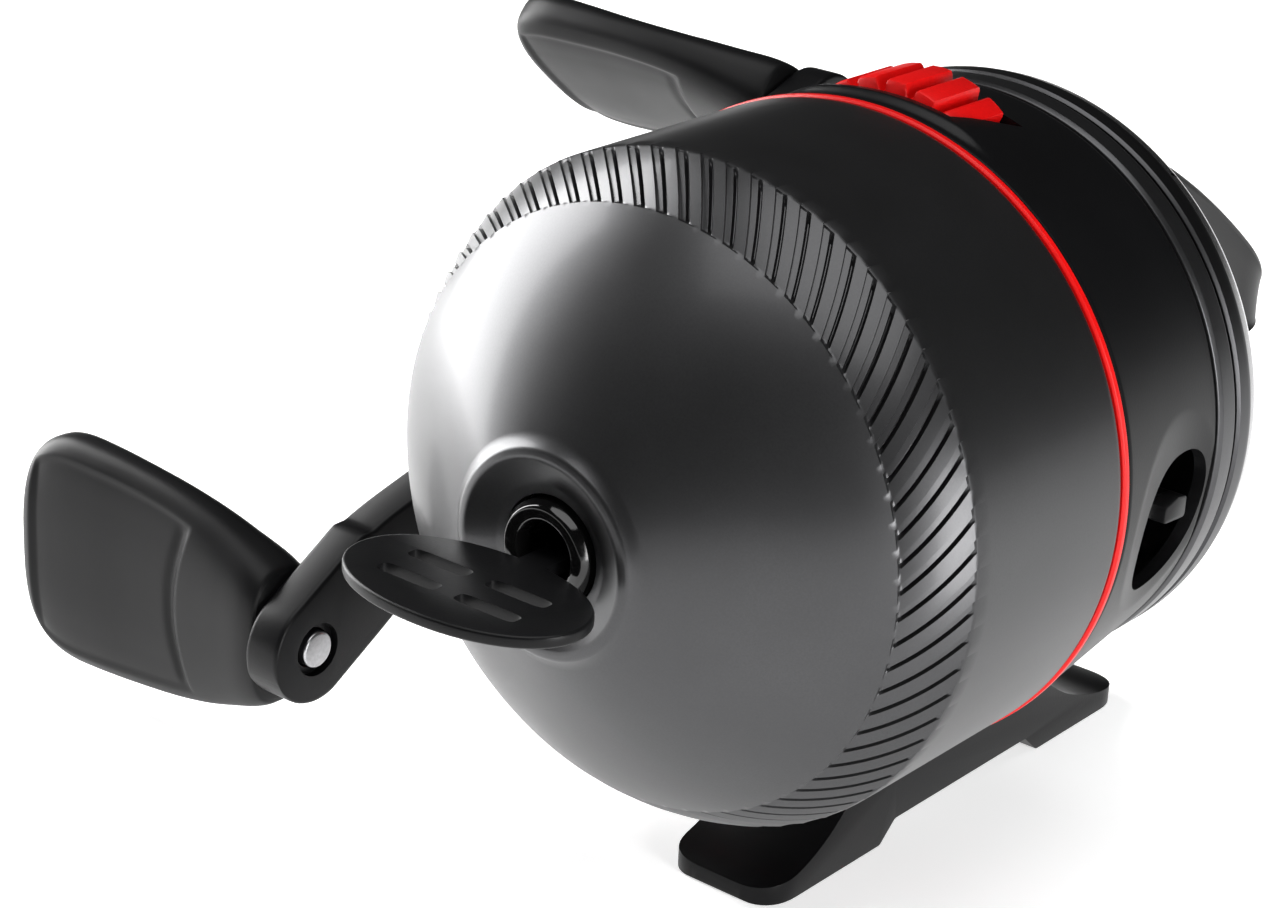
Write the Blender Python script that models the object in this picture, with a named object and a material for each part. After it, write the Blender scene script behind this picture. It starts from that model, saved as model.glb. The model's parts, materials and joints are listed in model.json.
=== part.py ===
"""A spincast fishing reel, built as the separate pieces it comes apart into.

All sizes below are millimetres in the reel's own axes: the spool axis runs along Y, the nose
points to -Y, +Z is up and the crank is on the -X side. Y is 0 at the coloured trim ring, where
the screw-on front cover meets the body. place() moves the whole reel so that the world origin
is the centre of the raised middle of the foot, on its underside.
"""
import math

import bmesh
import bpy
import numpy as np
from mathutils import Vector

MM = 0.001
GAP = 0.3                      # running gap between neighbouring pieces

# driving dimensions
BODY_R = 33.0                  # outside radius of the body at the trim ring
FOOT_DROP = 44.1               # spool axis down to the raised middle of the foot
FOOT_MIDDLE_Y = 18.0           # middle of the foot, behind the trim ring
WALL = 1.5
SKIRT_FRONT_Y = -24.7          # where the cover's dome begins
DOME_DEPTH = 22.5
SHROUD_END_Y = 20.3
SHROUD_END_R = 31.0
REAR_RING_END_Y = 24.0
BACK_R = 31.2
BACK_FACE_Y = 31.0
FRAME_RIM_R = 28.3
FRAME_RIM_END_Y = 14.0
DECK_FRONT_Y = -4.6
DECK_REAR_Y = -2.6
SEGMENTS = 32

# spool and spinner on the spool axis
TUBE_R = 5.0
SHAFT_R = 1.9
SHAFT_BORE_R = 2.2
SHAFT_FRONT_Y = -35.5
SHAFT_END_Y = 27.4
SPOOL_R = 21.0
SPOOL_FRONT_Y = -20.3
SPOOL_REAR_Y = -7.5
SPINNER_R = 22.6
SPINNER_FRONT_Y = -31.6
PICKUP_Y = -25.5

# crank line, parallel to X
CRANK_Y = 11.0
CRANK_Z = -6.5
CRANKSHAFT_R = 3.0
BUSHING_R = 4.9
BUSHING_HOLE_R = 5.2
BOSS_R = 7.0
BOSS_END_X = -33.0
POST_X = (15.0, 19.0)
ARM_REACH = 46.8
ARM_TILT = math.radians(25.15)
ARM_BOW = 2.65                 # the gently bowed arm drops both of its ends by this
ARM_HALF_WIDTH = 6.0
ARM_THICKNESS = 4.5
HUB_INNER_X = -35.5
END_INNER_X = -42.0
KNOB_PIN_R = 2.0
KNOB_NECK_X = -47.0
KNOB_END_X = -85.5
KNOB_HALF_WIDTH = 13.4
KNOB_REAR_TURN = math.radians(50)

# gears: a helical pinion on the spool axis and a face gear on the crankshaft
PINION_TEETH = 10
DRIVE_TEETH = 36
PINION_Y = (-0.8, 5.2)
RATIO = DRIVE_TEETH / PINION_TEETH
PINION_MIDDLE_Y = sum(PINION_Y) / 2
PINION_PITCH_R = (CRANK_Y - PINION_MIDDLE_Y - CRANK_Z) / RATIO   # 45 degree helix
TOOTH_HALF = 0.8
TOOTH_FLANK = 1.5
TOOTH_BAND = (8.9, 13.2)
GEAR_BACK_X = -9.0
GEAR_FACE_X = -5.6
TOOTH_CLEARANCE = 0.32

# drag dial, on an axis parallel to the spool axis
DIAL_Z = 22.0
DIAL_R = 12.5
DIAL_Y = (4.5, 12.5)
DIAL_RIBS = 22

# thumb button
BUTTON_PIVOT_Y = 27.4
BUTTON_PIVOT_Z = 23.4
BUTTON_HALF_WIDTH = 14.0
BUTTON_FLOOR_Z = -1.5
BUTTON_END_Y = 66.8

# anti-reverse pawl
PAWL_Y = 2.0
PAWL_Z = -16.5
PAWL_X = (9.0, 10.6)

# switch lever in the side window
SWITCH_TAB = ((28.8, 12.2, -5.3), (30.7, 16.2, -2.7))
SWITCH_STEM = ((20.5, 14.6, -5.0), (29.4, 16.0, -3.0))

# line keeper tag on the nose
TAG_MIDDLE = (-1.2, -53.0)
TAG_HALF_SIZE = (13.0, 7.5)
TAG_Z = (-1.6, -0.4)
TAG_TONGUE_HALF = 1.6
TAG_TONGUE_END_Y = -40.0       # clear of the centre shaft when the thumb button is pressed
TAG_SLOT = (7.0, 1.6)
TAG_SLOT_ROWS = (-2.4, 1.6)
TAG_SLOT_COLUMNS = (-4.6, 4.6)

# fasteners
BACK_SCREWS = ((-20.2, -14.0), (20.2, -14.0), (0.0, -24.6))     # x and z of each
FOOT_SCREWS_Y = (7.5, 13.5)


def arm_end(sign):
    """The crank pin of the front (-1) or rear (+1) knob."""
    reach = sign * ARM_REACH
    return (CRANK_Y + reach * math.cos(ARM_TILT) + ARM_BOW * math.sin(ARM_TILT),
            CRANK_Z + reach * math.sin(ARM_TILT) - ARM_BOW * math.cos(ARM_TILT))


KNOB_FRONT = arm_end(-1)
KNOB_REAR = arm_end(1)

# every moving group and the point its joint axis passes through
PIVOTS = {
    "housing": (0, 0, 0),
    "crank": (0, CRANK_Y, CRANK_Z),
    "knob_front": (KNOB_NECK_X, *KNOB_FRONT),
    "knob_rear": (KNOB_NECK_X, *KNOB_REAR),
    "pinion": (0, PINION_MIDDLE_Y, 0),
    "spinner": (0, SPINNER_FRONT_Y, 0),
    "pickup": (0, PICKUP_Y, SPINNER_R),
    "spool": (0, SPOOL_FRONT_Y, 0),
    "drag_dial": (0, sum(DIAL_Y) / 2, DIAL_Z),
    "drag_plate": (0, -5.75, 0),
    "thumb_button": (0, BUTTON_PIVOT_Y, BUTTON_PIVOT_Z),
    "pawl": (PAWL_X[0], PAWL_Y, PAWL_Z),
    "alert_switch": (29.0, 14.0, -4.0),
    "line_keeper": (0, -45.0, -1.0),
}

# colour, metallic, roughness
LOOKS = {
    "gunmetal": ((0.13, 0.13, 0.135), 0.9, 0.32),
    "black_satin": ((0.012, 0.012, 0.013), 0.0, 0.42),
    "black_gloss": ((0.01, 0.01, 0.01), 0.0, 0.12),
    "soft_black": ((0.015, 0.015, 0.016), 0.0, 0.6),
    "red": ((0.72, 0.012, 0.01), 0.1, 0.3),
    "polished": ((0.75, 0.75, 0.76), 1.0, 0.12),
    "dark_metal": ((0.09, 0.09, 0.095), 0.9, 0.3),
    "steel": ((0.55, 0.55, 0.56), 1.0, 0.3),
    "brass": ((0.72, 0.5, 0.2), 1.0, 0.3),
    "cast": ((0.5, 0.5, 0.51), 1.0, 0.4),
    "felt": ((0.12, 0.1, 0.08), 0.0, 0.95),
    "line": ((0.55, 0.6, 0.55), 0.0, 0.35),
}


def clear_scene():
    for item in list(bpy.data.objects):
        bpy.data.objects.remove(item, do_unlink=True)


def material(name):
    found = bpy.data.materials.get(name)
    if found:
        return found
    colour, metallic, roughness = LOOKS[name]
    made = bpy.data.materials.new(name)
    made.use_nodes = True
    shader = made.node_tree.nodes["Principled BSDF"]
    shader.inputs["Base Color"].default_value = (*colour, 1)
    shader.inputs["Metallic"].default_value = metallic
    shader.inputs["Roughness"].default_value = roughness
    return made


def place(point):
    """Reel millimetres to world metres."""
    x, y, z = point
    return Vector((x, y - FOOT_MIDDLE_Y, z + FOOT_DROP)) * MM


def make_pivots():
    pivots = {}
    for group, point in PIVOTS.items():
        empty = bpy.data.objects.new("pivot_" + group, None)
        empty.location = place(point)
        empty.empty_display_size = 3 * MM
        bpy.context.collection.objects.link(empty)
        pivots[group] = empty
    return pivots


# ---- shapes, each a bmesh in reel millimetres ----

def on_axis(axis, centre, across, up, along):
    """A point given across, up and along an axis through centre."""
    if axis == "X":
        return (along, centre[1] + across, centre[2] + up)
    if axis == "Y":
        return (centre[0] + across, along, centre[2] + up)
    return (centre[0] + across, centre[1] + up, along)


def closed(bm):
    bmesh.ops.recalc_face_normals(bm, faces=bm.faces)
    return bm


def lathe(profile, axis="Y", centre=(0, 0, 0), segments=SEGMENTS):
    """Turn a closed outline of (radius, along) points; radius 0 makes a pole."""
    bm = bmesh.new()
    angles = [2 * math.pi * i / segments for i in range(segments)]
    rows = []
    for radius, along in profile:
        if radius == 0:
            pole = bm.verts.new(on_axis(axis, centre, 0, 0, along))
            rows.append([pole] * segments)
        else:
            rows.append([bm.verts.new(on_axis(axis, centre, radius * math.cos(a),
                                              radius * math.sin(a), along)) for a in angles])
    for row, other in zip(rows, rows[1:] + rows[:1]):
        for i in range(segments):
            j = (i + 1) % segments
            corners = list(dict.fromkeys((row[i], row[j], other[j], other[i])))
            if len(corners) > 2:
                bm.faces.new(corners)
    return closed(bm)


def cylinder(radius, start, end, axis="Y", centre=(0, 0, 0), segments=20):
    return lathe([(0, start), (radius, start), (radius, end), (0, end)], axis, centre, segments)


def ring(inner, outer, start, end, axis="Y", centre=(0, 0, 0), segments=18):
    outline = [(inner, start), (outer, start), (outer, end), (inner, end)]
    return lathe(outline, axis, centre, segments)


def loft(sections):
    """Skin a list of equal-length loops and close both ends."""
    bm = bmesh.new()
    loops = [[bm.verts.new(point) for point in section] for section in sections]
    for loop, other in zip(loops, loops[1:]):
        for i in range(len(loop)):
            j = (i + 1) % len(loop)
            bm.faces.new((loop[i], loop[j], other[j], other[i]))
    bm.faces.new(loops[0])
    bm.faces.new(loops[-1])
    return closed(bm)


def prism(outline, axis, start, end):
    """Extrude an outline of (across, up) points along an axis."""
    return loft([[on_axis(axis, (0, 0, 0), a, u, along) for a, u in outline]
                 for along in (start, end)])


def box(low, high):
    (x0, y0, z0), (x1, y1, z1) = low, high
    return prism([(x0, y0), (x1, y0), (x1, y1), (x0, y1)], "Z", z0, z1)


def oval(across, up, power, count):
    """A superellipse outline; power 2 is an ellipse, larger is squarer."""
    points = []
    for i in range(count):
        angle = 2 * math.pi * i / count
        c, s = math.cos(angle), math.sin(angle)
        points.append((across * math.copysign(abs(c) ** (2 / power), c),
                       up * math.copysign(abs(s) ** (2 / power), s)))
    return points


def polygon(radius, sides, centre=(0, 0)):
    return [(centre[0] + radius * math.cos(2 * math.pi * i / sides),
             centre[1] + radius * math.sin(2 * math.pi * i / sides)) for i in range(sides)]


def stepped_cutter(small, large, start, step, end, axis, centre):
    """A through hole that widens at a step."""
    profile = [(0, start), (small, start), (small, step), (large, step), (large, end), (0, end)]
    return lathe(profile, axis, centre, 22)


def coil(radius, wire, start, end, turns, axis, centre, steps=12):
    """A round wire wound round an axis."""
    sections = []
    for i in range(turns * steps + 1):
        angle = 2 * math.pi * i / steps
        along = start + (end - start) * i / (turns * steps)
        sections.append([on_axis(axis, centre, (radius + a) * math.cos(angle),
                                 (radius + a) * math.sin(angle), along + b)
                         for a, b in polygon(wire, 5)])
    return loft(sections)


# ---- objects ----

class Reel:
    """Makes the objects and remembers the pivots they hang on."""

    def __init__(self):
        self.pivots = make_pivots()
        self.helpers = 0

    def piece(self, name, bm, group, look):
        mesh = bpy.data.meshes.new(name)
        pivot = Vector(PIVOTS[group])
        bmesh.ops.translate(bm, vec=-pivot, verts=bm.verts)
        bmesh.ops.scale(bm, vec=(MM, MM, MM), verts=bm.verts)
        bm.to_mesh(mesh)
        bm.free()
        mesh.shade_smooth()
        mesh.set_sharp_from_angle(angle=math.radians(32))
        made = bpy.data.objects.new(name, mesh)
        made.parent = self.pivots[group]
        bpy.context.collection.objects.link(made)
        if look:
            mesh.materials.append(material(look))
        return made

    def change(self, target, group, operation, shapes):
        """Cut shapes from a piece, or join them to it."""
        for bm in shapes:
            self.helpers += 1
            helper = self.piece(f"helper_{self.helpers:02d}", bm, group, None)
            helper.hide_render = True
            helper.display_type = "WIRE"
            step = target.modifiers.new(helper.name, "BOOLEAN")
            step.operation = operation
            step.solver = "EXACT"
            step.object = helper

    def join(self, target, group, *shapes):
        self.change(target, group, "UNION", shapes)

    def cut(self, target, group, *shapes):
        self.change(target, group, "DIFFERENCE", shapes)


# ---- the housing ----

def dome_points(radius, start, depth, last_radius, count):
    """The cover's dome from its skirt in to last_radius."""
    end = math.acos((last_radius / radius) ** 0.6)
    points = []
    for i in range(count + 1):
        t = end * i / count
        points.append((radius * math.cos(t) ** (2 / 1.2),
                       start - depth * math.sin(t) ** (2 / 1.5)))
    return points


def front_cover(reel):
    outer = dome_points(BODY_R - 0.2, SKIRT_FRONT_Y - 0.6, DOME_DEPTH, 10.3, 7)
    inner = dome_points(BODY_R - 1.7, SKIRT_FRONT_Y + 0.1, DOME_DEPTH - 1.05, 9.0, 4)
    nose = [(9.9, -44.7), (9.2, -44.9), (6.6, -43.9), (5.3, -43.5)]
    throat = [(5.3, -42.0), (7.0, -42.1)]
    skirt_out = [(BODY_R, -0.8), (BODY_R, SKIRT_FRONT_Y)]
    skirt_in = [(BODY_R - 1.5, -0.8)]
    profile = skirt_out + outer + nose + throat + inner[::-1] + skirt_in
    reel.piece("front_cover", lathe(profile, segments=40), "housing", "gunmetal")


def line_guide(reel):
    profile = [(2.8, -43.6), (3.4, -44.6), (4.4, -44.6), (5.0, -44.0), (5.0, -41.7),
               (6.6, -41.7), (6.6, -40.6), (3.3, -40.6), (2.8, -41.2)]
    reel.piece("line_guide", lathe(profile, segments=20), "housing", "black_gloss")


def trim_ring(reel):
    profile = [(29.0, -0.5), (BODY_R, -0.5), (BODY_R + 0.15, 0), (BODY_R, 0.5), (29.0, 0.5)]
    reel.piece("trim_ring", lathe(profile), "housing", "red")


def hump_outline():
    """The raised surround of the drag dial, seen along the spool axis."""
    start, end, count = math.radians(106), math.radians(67), 12
    outer, inner = [], []
    for i in range(count + 1):
        angle = start + (end - start) * i / count
        radius = 32.1 + 1.2 * math.sin(math.pi * i / count) ** 0.6
        outer.append((radius * math.cos(angle), radius * math.sin(angle)))
        inner.append((30.7 * math.cos(angle), 30.7 * math.sin(angle)))
    return outer + inner[::-1]


def window_outline(grow):
    outline = oval(6.2 + grow, 7.2 + grow, 2.4, 20)
    return [(y + 13.5, z - 5.0) for y, z in outline]


def body_shroud(reel):
    slope = (BODY_R - SHROUD_END_R) / (SHROUD_END_Y - 0.8)
    inner_end = SHROUD_END_R - WALL
    profile = [(BODY_R - WALL, 0.8), (BODY_R, 0.8), (BODY_R - 10 * slope, 10.8),
               (SHROUD_END_R, SHROUD_END_Y), (inner_end, SHROUD_END_Y)]
    shroud = reel.piece("body_shroud", lathe(profile), "housing", "black_satin")
    reel.join(shroud, "housing", prism(hump_outline(), "Y", 2.4, 16.4))
    dial_slot = cylinder(DIAL_R + 0.5, DIAL_Y[0] - 0.7, DIAL_Y[1] + 0.9,
                         centre=(0, 0, DIAL_Z), segments=32)
    window = prism(window_outline(0), "X", 24, 36)
    crank_hole = cylinder(BOSS_R + 0.4, -36, -24, "X", (0, CRANK_Y, CRANK_Z), 22)
    stem_slot = box((-7.3, 4.6, -36), (7.3, 19.4, -27))
    reel.cut(shroud, "housing", dial_slot, window, crank_hole, stem_slot)


def rear_ring(reel):
    end = REAR_RING_END_Y
    profile = [(28.8, 20.6), (BACK_R - 0.1, 20.6), (BACK_R, 21.4), (BACK_R, end - 0.6),
               (BACK_R - 0.4, end), (28.8, end)]
    reel.piece("rear_ring", lathe(profile), "housing", "dark_metal")


def button_opening(half):
    """The thumb button's opening: square below, following the cover's rim above."""
    count = 10
    xs = [half - 2 * half * i / count for i in range(count + 1)]
    top = [(x, min(28.2, math.sqrt(29.6 ** 2 - x ** 2))) for x in xs]
    return [(-half, -4.5), (half, -4.5)] + top


def back_cover(reel):
    profile = [(BACK_R, 24.3), (BACK_R, 26.6), (30.6, 28.6), (29.2, 30.2), (27.0, BACK_FACE_Y),
               (0, BACK_FACE_Y), (0, 29.5), (26.6, 29.5), (28.6, 28.2), (29.7, 26.2),
               (29.7, 24.3)]
    cover = reel.piece("back_cover", lathe(profile), "housing", "polished")
    half = BUTTON_HALF_WIDTH + 0.9
    lug_x = (half + 0.3, half + 1.8)
    reel.join(cover, "housing", *(box((min(s * a for a in lug_x), 25.4, 21.3),
                                      (max(s * a for a in lug_x), 29.2, 24.9))
                                  for s in (-1, 1)))
    opening = prism(button_opening(half), "Y", 25.0, 33.0)
    pin_hole = cylinder(1.3, -19, 19, "X", (0, BUTTON_PIVOT_Y, BUTTON_PIVOT_Z - 0.2), 16)
    screw_holes = [cylinder(1.5, 28, 33, centre=(x, 0, z), segments=16)
                   for x, z in BACK_SCREWS]
    reel.cut(cover, "housing", opening, pin_hole, *screw_holes)


def main_frame(reel):
    rim = FRAME_RIM_R
    profile = [(2.4, -22.0), (TUBE_R, -22.0), (TUBE_R, DECK_FRONT_Y), (29.5, DECK_FRONT_Y),
               (29.5, -8.0), (31.2, -8.0), (31.2, -0.8), (rim + 0.3, -0.8), (rim, 0),
               (rim, FRAME_RIM_END_Y - 1.2), (rim - 0.8, FRAME_RIM_END_Y),
               (rim - 1.6, FRAME_RIM_END_Y - 0.8), (rim - 1.7, DECK_REAR_Y),
               (4.3, DECK_REAR_Y), (4.3, -6.0), (2.4, -6.0)]
    frame = reel.piece("main_frame", lathe(profile), "housing", "cast")
    boss = cylinder(BOSS_R, BOSS_END_X, -22.0, "X", (0, CRANK_Y, CRANK_Z), 22)
    post = box((POST_X[0], DECK_REAR_Y - 0.5, -19.5), (POST_X[1], 17.5, 0.5))
    foot_block = box((-6.0, 1.2, -28.7), (6.0, 18.5, -24.6))
    dial_boss = cylinder(4.2, DECK_REAR_Y - 0.5, 3.2, centre=(0, 0, DIAL_Z), segments=20)
    screw_posts = [cylinder(2.6, DECK_REAR_Y - 0.5, 28.8, centre=(x, 0, z), segments=14)
                   for x, z in BACK_SCREWS]
    reel.join(frame, "housing", boss, post, foot_block, dial_boss, *screw_posts)
    crank_bore = cylinder(BUSHING_HOLE_R, -36, -20, "X", (0, CRANK_Y, CRANK_Z), 20)
    post_bore = cylinder(BUSHING_HOLE_R, 13, 21, "X", (0, CRANK_Y, CRANK_Z), 20)
    pawl_bore = cylinder(1.5, 13, 21, "X", (0, PAWL_Y, PAWL_Z), 16)
    dial_bore = cylinder(2.4, -6, 5, centre=(0, 0, DIAL_Z), segments=18)
    dial_slot = cylinder(DIAL_R + 0.5, DIAL_Y[0] - 0.7, DIAL_Y[1] + 3,
                         centre=(0, 0, DIAL_Z), segments=32)
    foot_holes = [cylinder(1.7, -30, -21.5, "Z", (0, y, 0), 18) for y in FOOT_SCREWS_Y]
    back_holes = [cylinder(1.4, 20, 31, centre=(x, 0, z), segments=18) for x, z in BACK_SCREWS]
    reel.cut(frame, "housing", dial_slot, crank_bore, post_bore, pawl_bore, dial_bore,
             *foot_holes, *back_holes)


def foot_outline():
    """The foot seen from the side, as (y, z) points."""
    web, pad = -FOOT_DROP, -FOOT_DROP - 2.2
    underside = [(-15.6, pad), (3.5, pad), (6.0, web), (31.0, web), (33.5, pad), (51.5, pad)]
    rear_top = [(51.5, pad + 2.0), (45.0, pad + 3.0), (39.0, pad + 5.2), (34.0, pad + 8.4),
                (30.5, pad + 12.0), (28.0, -31.9)]
    stem = [(19.0, -31.7), (19.0, -29.0), (5.0, -29.0), (5.0, -33.5), (1.5, -34.6)]
    front_top = [(-2.0, pad + 8.0), (-6.0, pad + 5.0), (-10.5, pad + 3.0), (-15.6, pad + 2.0)]
    return underside + rear_top + stem + front_top


def reel_foot(reel):
    foot = reel.piece("reel_foot", prism(foot_outline(), "X", -6.85, 6.85), "housing",
                      "black_satin")
    for y in FOOT_SCREWS_Y:
        reel.cut(foot, "housing", stepped_cutter(1.7, 2.8, -20, -41.4, -50, "Z", (0, y, 0)))


def screw(head_r, shank_r, seat, head_end, tip, axis, centre):
    """A pan-head screw along an axis, its head between seat and head_end."""
    profile = [(0, tip), (shank_r, tip), (shank_r, seat), (head_r, seat),
               (head_r, head_end * 0.7 + seat * 0.3), (head_r * 0.7, head_end), (0, head_end)]
    return lathe(profile, axis, centre, 12)


def fasteners(reel):
    for name, y in zip(("foot_screw_front", "foot_screw_rear"), FOOT_SCREWS_Y):
        reel.piece(name, screw(2.4, 1.3, -41.7, -43.8, -25.2, "Z", (0, y, 0)), "housing",
                   "steel")
    names = ("back_screw_left", "back_screw_right", "back_screw_bottom")
    for name, (x, z) in zip(names, BACK_SCREWS):
        seat = BACK_FACE_Y + GAP
        reel.piece(name, screw(2.2, 1.1, seat, seat + 1.4, 21.0, "Y", (x, 0, z)), "housing",
                   "steel")


def bearings(reel):
    crank = (0, CRANK_Y, CRANK_Z)
    inner = CRANKSHAFT_R + GAP
    reel.piece("crank_bushing_left", ring(inner, BUSHING_R, BOSS_END_X, -22.5, "X", crank),
               "housing", "brass")
    reel.piece("crank_bushing_right", ring(inner, BUSHING_R, *POST_X, "X", crank), "housing",
               "brass")
    reel.piece("pinion_bearing", ring(3.1, 4.0, -5.7, DECK_REAR_Y), "housing", "brass")


# ---- the spool axis ----

def spool(reel):
    front, rear = SPOOL_FRONT_Y, SPOOL_REAR_Y
    profile = [(TUBE_R + 0.4, front), (SPOOL_R, front), (SPOOL_R, front + 1.4),
               (10.0, front + 1.4), (10.0, rear - 1.4), (SPOOL_R, rear - 1.4),
               (SPOOL_R, rear), (TUBE_R + 0.4, rear)]
    reel.piece("spool", lathe(profile, segments=30), "spool", "cast")
    pack = [(10.3, front + 1.7), (16.8, front + 1.7), (17.4, -13.6), (16.8, rear - 1.7),
            (10.3, rear - 1.7)]
    reel.piece("line_pack", lathe(pack, segments=24), "spool", "line")
    reel.piece("drag_washer", ring(7.0, 19.0, -7.2, -6.6, segments=24), "housing", "felt")
    reel.piece("drag_plate", ring(6.0, 25.5, -6.2, -5.3, segments=30), "drag_plate", "steel")


def spinner(reel):
    front = SPINNER_FRONT_Y
    head = [(SHAFT_BORE_R, front), (20.4, front), (22.0, front + 0.8), (SPINNER_R, front + 2.2),
            (SPINNER_R, -20.9), (21.5, -20.9), (21.5, front + 2.6), (20.0, front + 1.5),
            (5.0, front + 1.5), (5.0, front + 4.5), (SHAFT_BORE_R, front + 4.5)]
    body = reel.piece("spinner_head", lathe(head, segments=32), "spinner", "steel")
    reel.cut(body, "spinner", cylinder(1.1, 18, 26, "Z", (0, PICKUP_Y, 0), 12))
    reel.piece("center_shaft", cylinder(SHAFT_R, SHAFT_FRONT_Y, SHAFT_END_Y, segments=16),
              "spinner", "steel")
    nut = prism(polygon(4.2, 6), "Y", front - 2.6, front - GAP)
    made = reel.piece("spinner_nut", nut, "spinner", "brass")
    reel.cut(made, "spinner", cylinder(SHAFT_BORE_R, front - 4, front + 1, segments=16))
    reel.piece("shaft_collar", ring(SHAFT_BORE_R, 3.4, 20.0, 21.5, segments=20), "spinner",
               "steel")
    reel.piece("return_spring", coil(2.62, 0.3, 9.4, 19.4, 5, "Y", (0, 0, 0), 9), "spinner",
               "steel")
    pin = [(0, 19.2), (1.5, 19.2), (1.5, 20.2), (0.8, 20.6), (0.8, 24.0), (0.4, 24.4),
           (0, 24.4)]
    reel.piece("pickup_pin", lathe(pin, "Z", (0, PICKUP_Y, 0), 12), "pickup", "steel")


def pinion_radius(angle):
    """The pinion's outline: flat-topped waves on the pitch circle."""
    wave = np.clip(TOOTH_FLANK * np.cos(PINION_TEETH * angle), -1, 1)
    return PINION_PITCH_R + TOOTH_HALF * wave


def helix_turn(y):
    """How far the pinion's outline has turned at y, for a 45 degree helix."""
    return -(y - PINION_MIDDLE_Y) / PINION_PITCH_R


def pinion(reel):
    points, layers = PINION_TEETH * 5, 8
    sections = []
    for i in range(layers + 1):
        y = PINION_Y[0] + (PINION_Y[1] - PINION_Y[0]) * i / layers
        section = []
        for k in range(points):
            angle = 2 * math.pi * k / points
            radius = float(pinion_radius(np.float64(angle + helix_turn(y))))
            section.append((radius * math.cos(angle), y, radius * math.sin(angle)))
        sections.append(section)
    gear = reel.piece("pinion", loft(sections), "pinion", "brass")
    reel.join(gear, "pinion", cylinder(2.85, -5.6, 0.2, segments=20))
    reel.cut(gear, "pinion", cylinder(SHAFT_BORE_R, -8, 8, segments=20))


def pinion_underside():
    """The pinion's lowest x for each turn of its outline and each z, as a table."""
    turns = np.linspace(0, 2 * math.pi / PINION_TEETH, 120, endpoint=False)
    angles = np.linspace(math.radians(100), math.radians(260), 1600)
    heights = np.arange(-5.2, 5.21, 0.05)
    table = np.full((len(turns), len(heights)), 9.0)
    for row, turn in enumerate(turns):
        radius = pinion_radius(angles + turn)
        bins = np.rint((radius * np.sin(angles) - heights[0]) / 0.05).astype(int)
        inside = (bins >= 0) & (bins < len(heights))
        np.minimum.at(table[row], bins[inside], (radius * np.cos(angles))[inside])
    return table, heights[0]


def tooth_heights(radii, angles):
    """How high the drive gear may rise at each radius and angle of one tooth pitch.

    The gear is rolled past the pinion, and at each place the lowest that the pinion's
    underside ever comes, less a clearance, is where the gear's tooth surface lies.
    """
    table, first = pinion_underside()
    pitch = 2 * math.pi / PINION_TEETH
    middle = math.atan2(-CRANK_Z, PINION_MIDDLE_Y - CRANK_Y)
    roll = np.radians(np.arange(-50, 50.01, 0.25))
    heights = np.full((len(radii), len(angles)), PINION_PITCH_R - TOOTH_HALF - 0.3) * -1
    for i, radius in enumerate(radii):
        for k, angle in enumerate(angles):
            for turn in range(DRIVE_TEETH):
                here = angle + 2 * math.pi * turn / DRIVE_TEETH + roll - middle
                near = np.abs((here + math.pi) % (2 * math.pi) - math.pi) < math.radians(42)
                place_angle = here[near] + middle
                y = CRANK_Y + radius * np.cos(place_angle)
                z = CRANK_Z + radius * np.sin(place_angle)
                under = (np.abs(z) < 5.15) & (y > PINION_Y[0] - 0.3) & (y < PINION_Y[1] + 0.3)
                if not under.any():
                    continue
                phase = helix_turn(y[under]) - RATIO * roll[near][under]
                rows = (phase % pitch / pitch * len(table)).astype(int) % len(table)
                columns = np.rint((z[under] - first) / 0.05).astype(int)
                low = table[rows, columns].min() - TOOTH_CLEARANCE
                heights[i, k] = min(heights[i, k], low)
    return heights


def drive_gear(reel):
    per_tooth = 6
    radii = np.linspace(*TOOTH_BAND, 3)
    angles = np.arange(per_tooth) * 2 * math.pi / DRIVE_TEETH / per_tooth
    heights = tooth_heights(radii, angles)
    count = DRIVE_TEETH * per_tooth
    rows = [(TOOTH_BAND[0] - 0.5, [GEAR_FACE_X] * per_tooth)]
    rows += list(zip(radii, heights))
    rows += [(TOOTH_BAND[1], [GEAR_BACK_X] * per_tooth)]
    sections = []
    for radius, row in rows:
        turns = [2 * math.pi * k / count for k in range(count)]
        sections.append([(row[k % per_tooth], CRANK_Y + radius * math.cos(turn),
                          CRANK_Z + radius * math.sin(turn)) for k, turn in enumerate(turns)])
    gear = reel.piece("drive_gear", loft(sections), "crank", "brass")
    reel.cut(gear, "crank", cylinder(CRANKSHAFT_R + GAP, GEAR_BACK_X - 2, GEAR_FACE_X + 2, "X",
                                     (0, CRANK_Y, CRANK_Z)))


# ---- the crank ----

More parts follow.
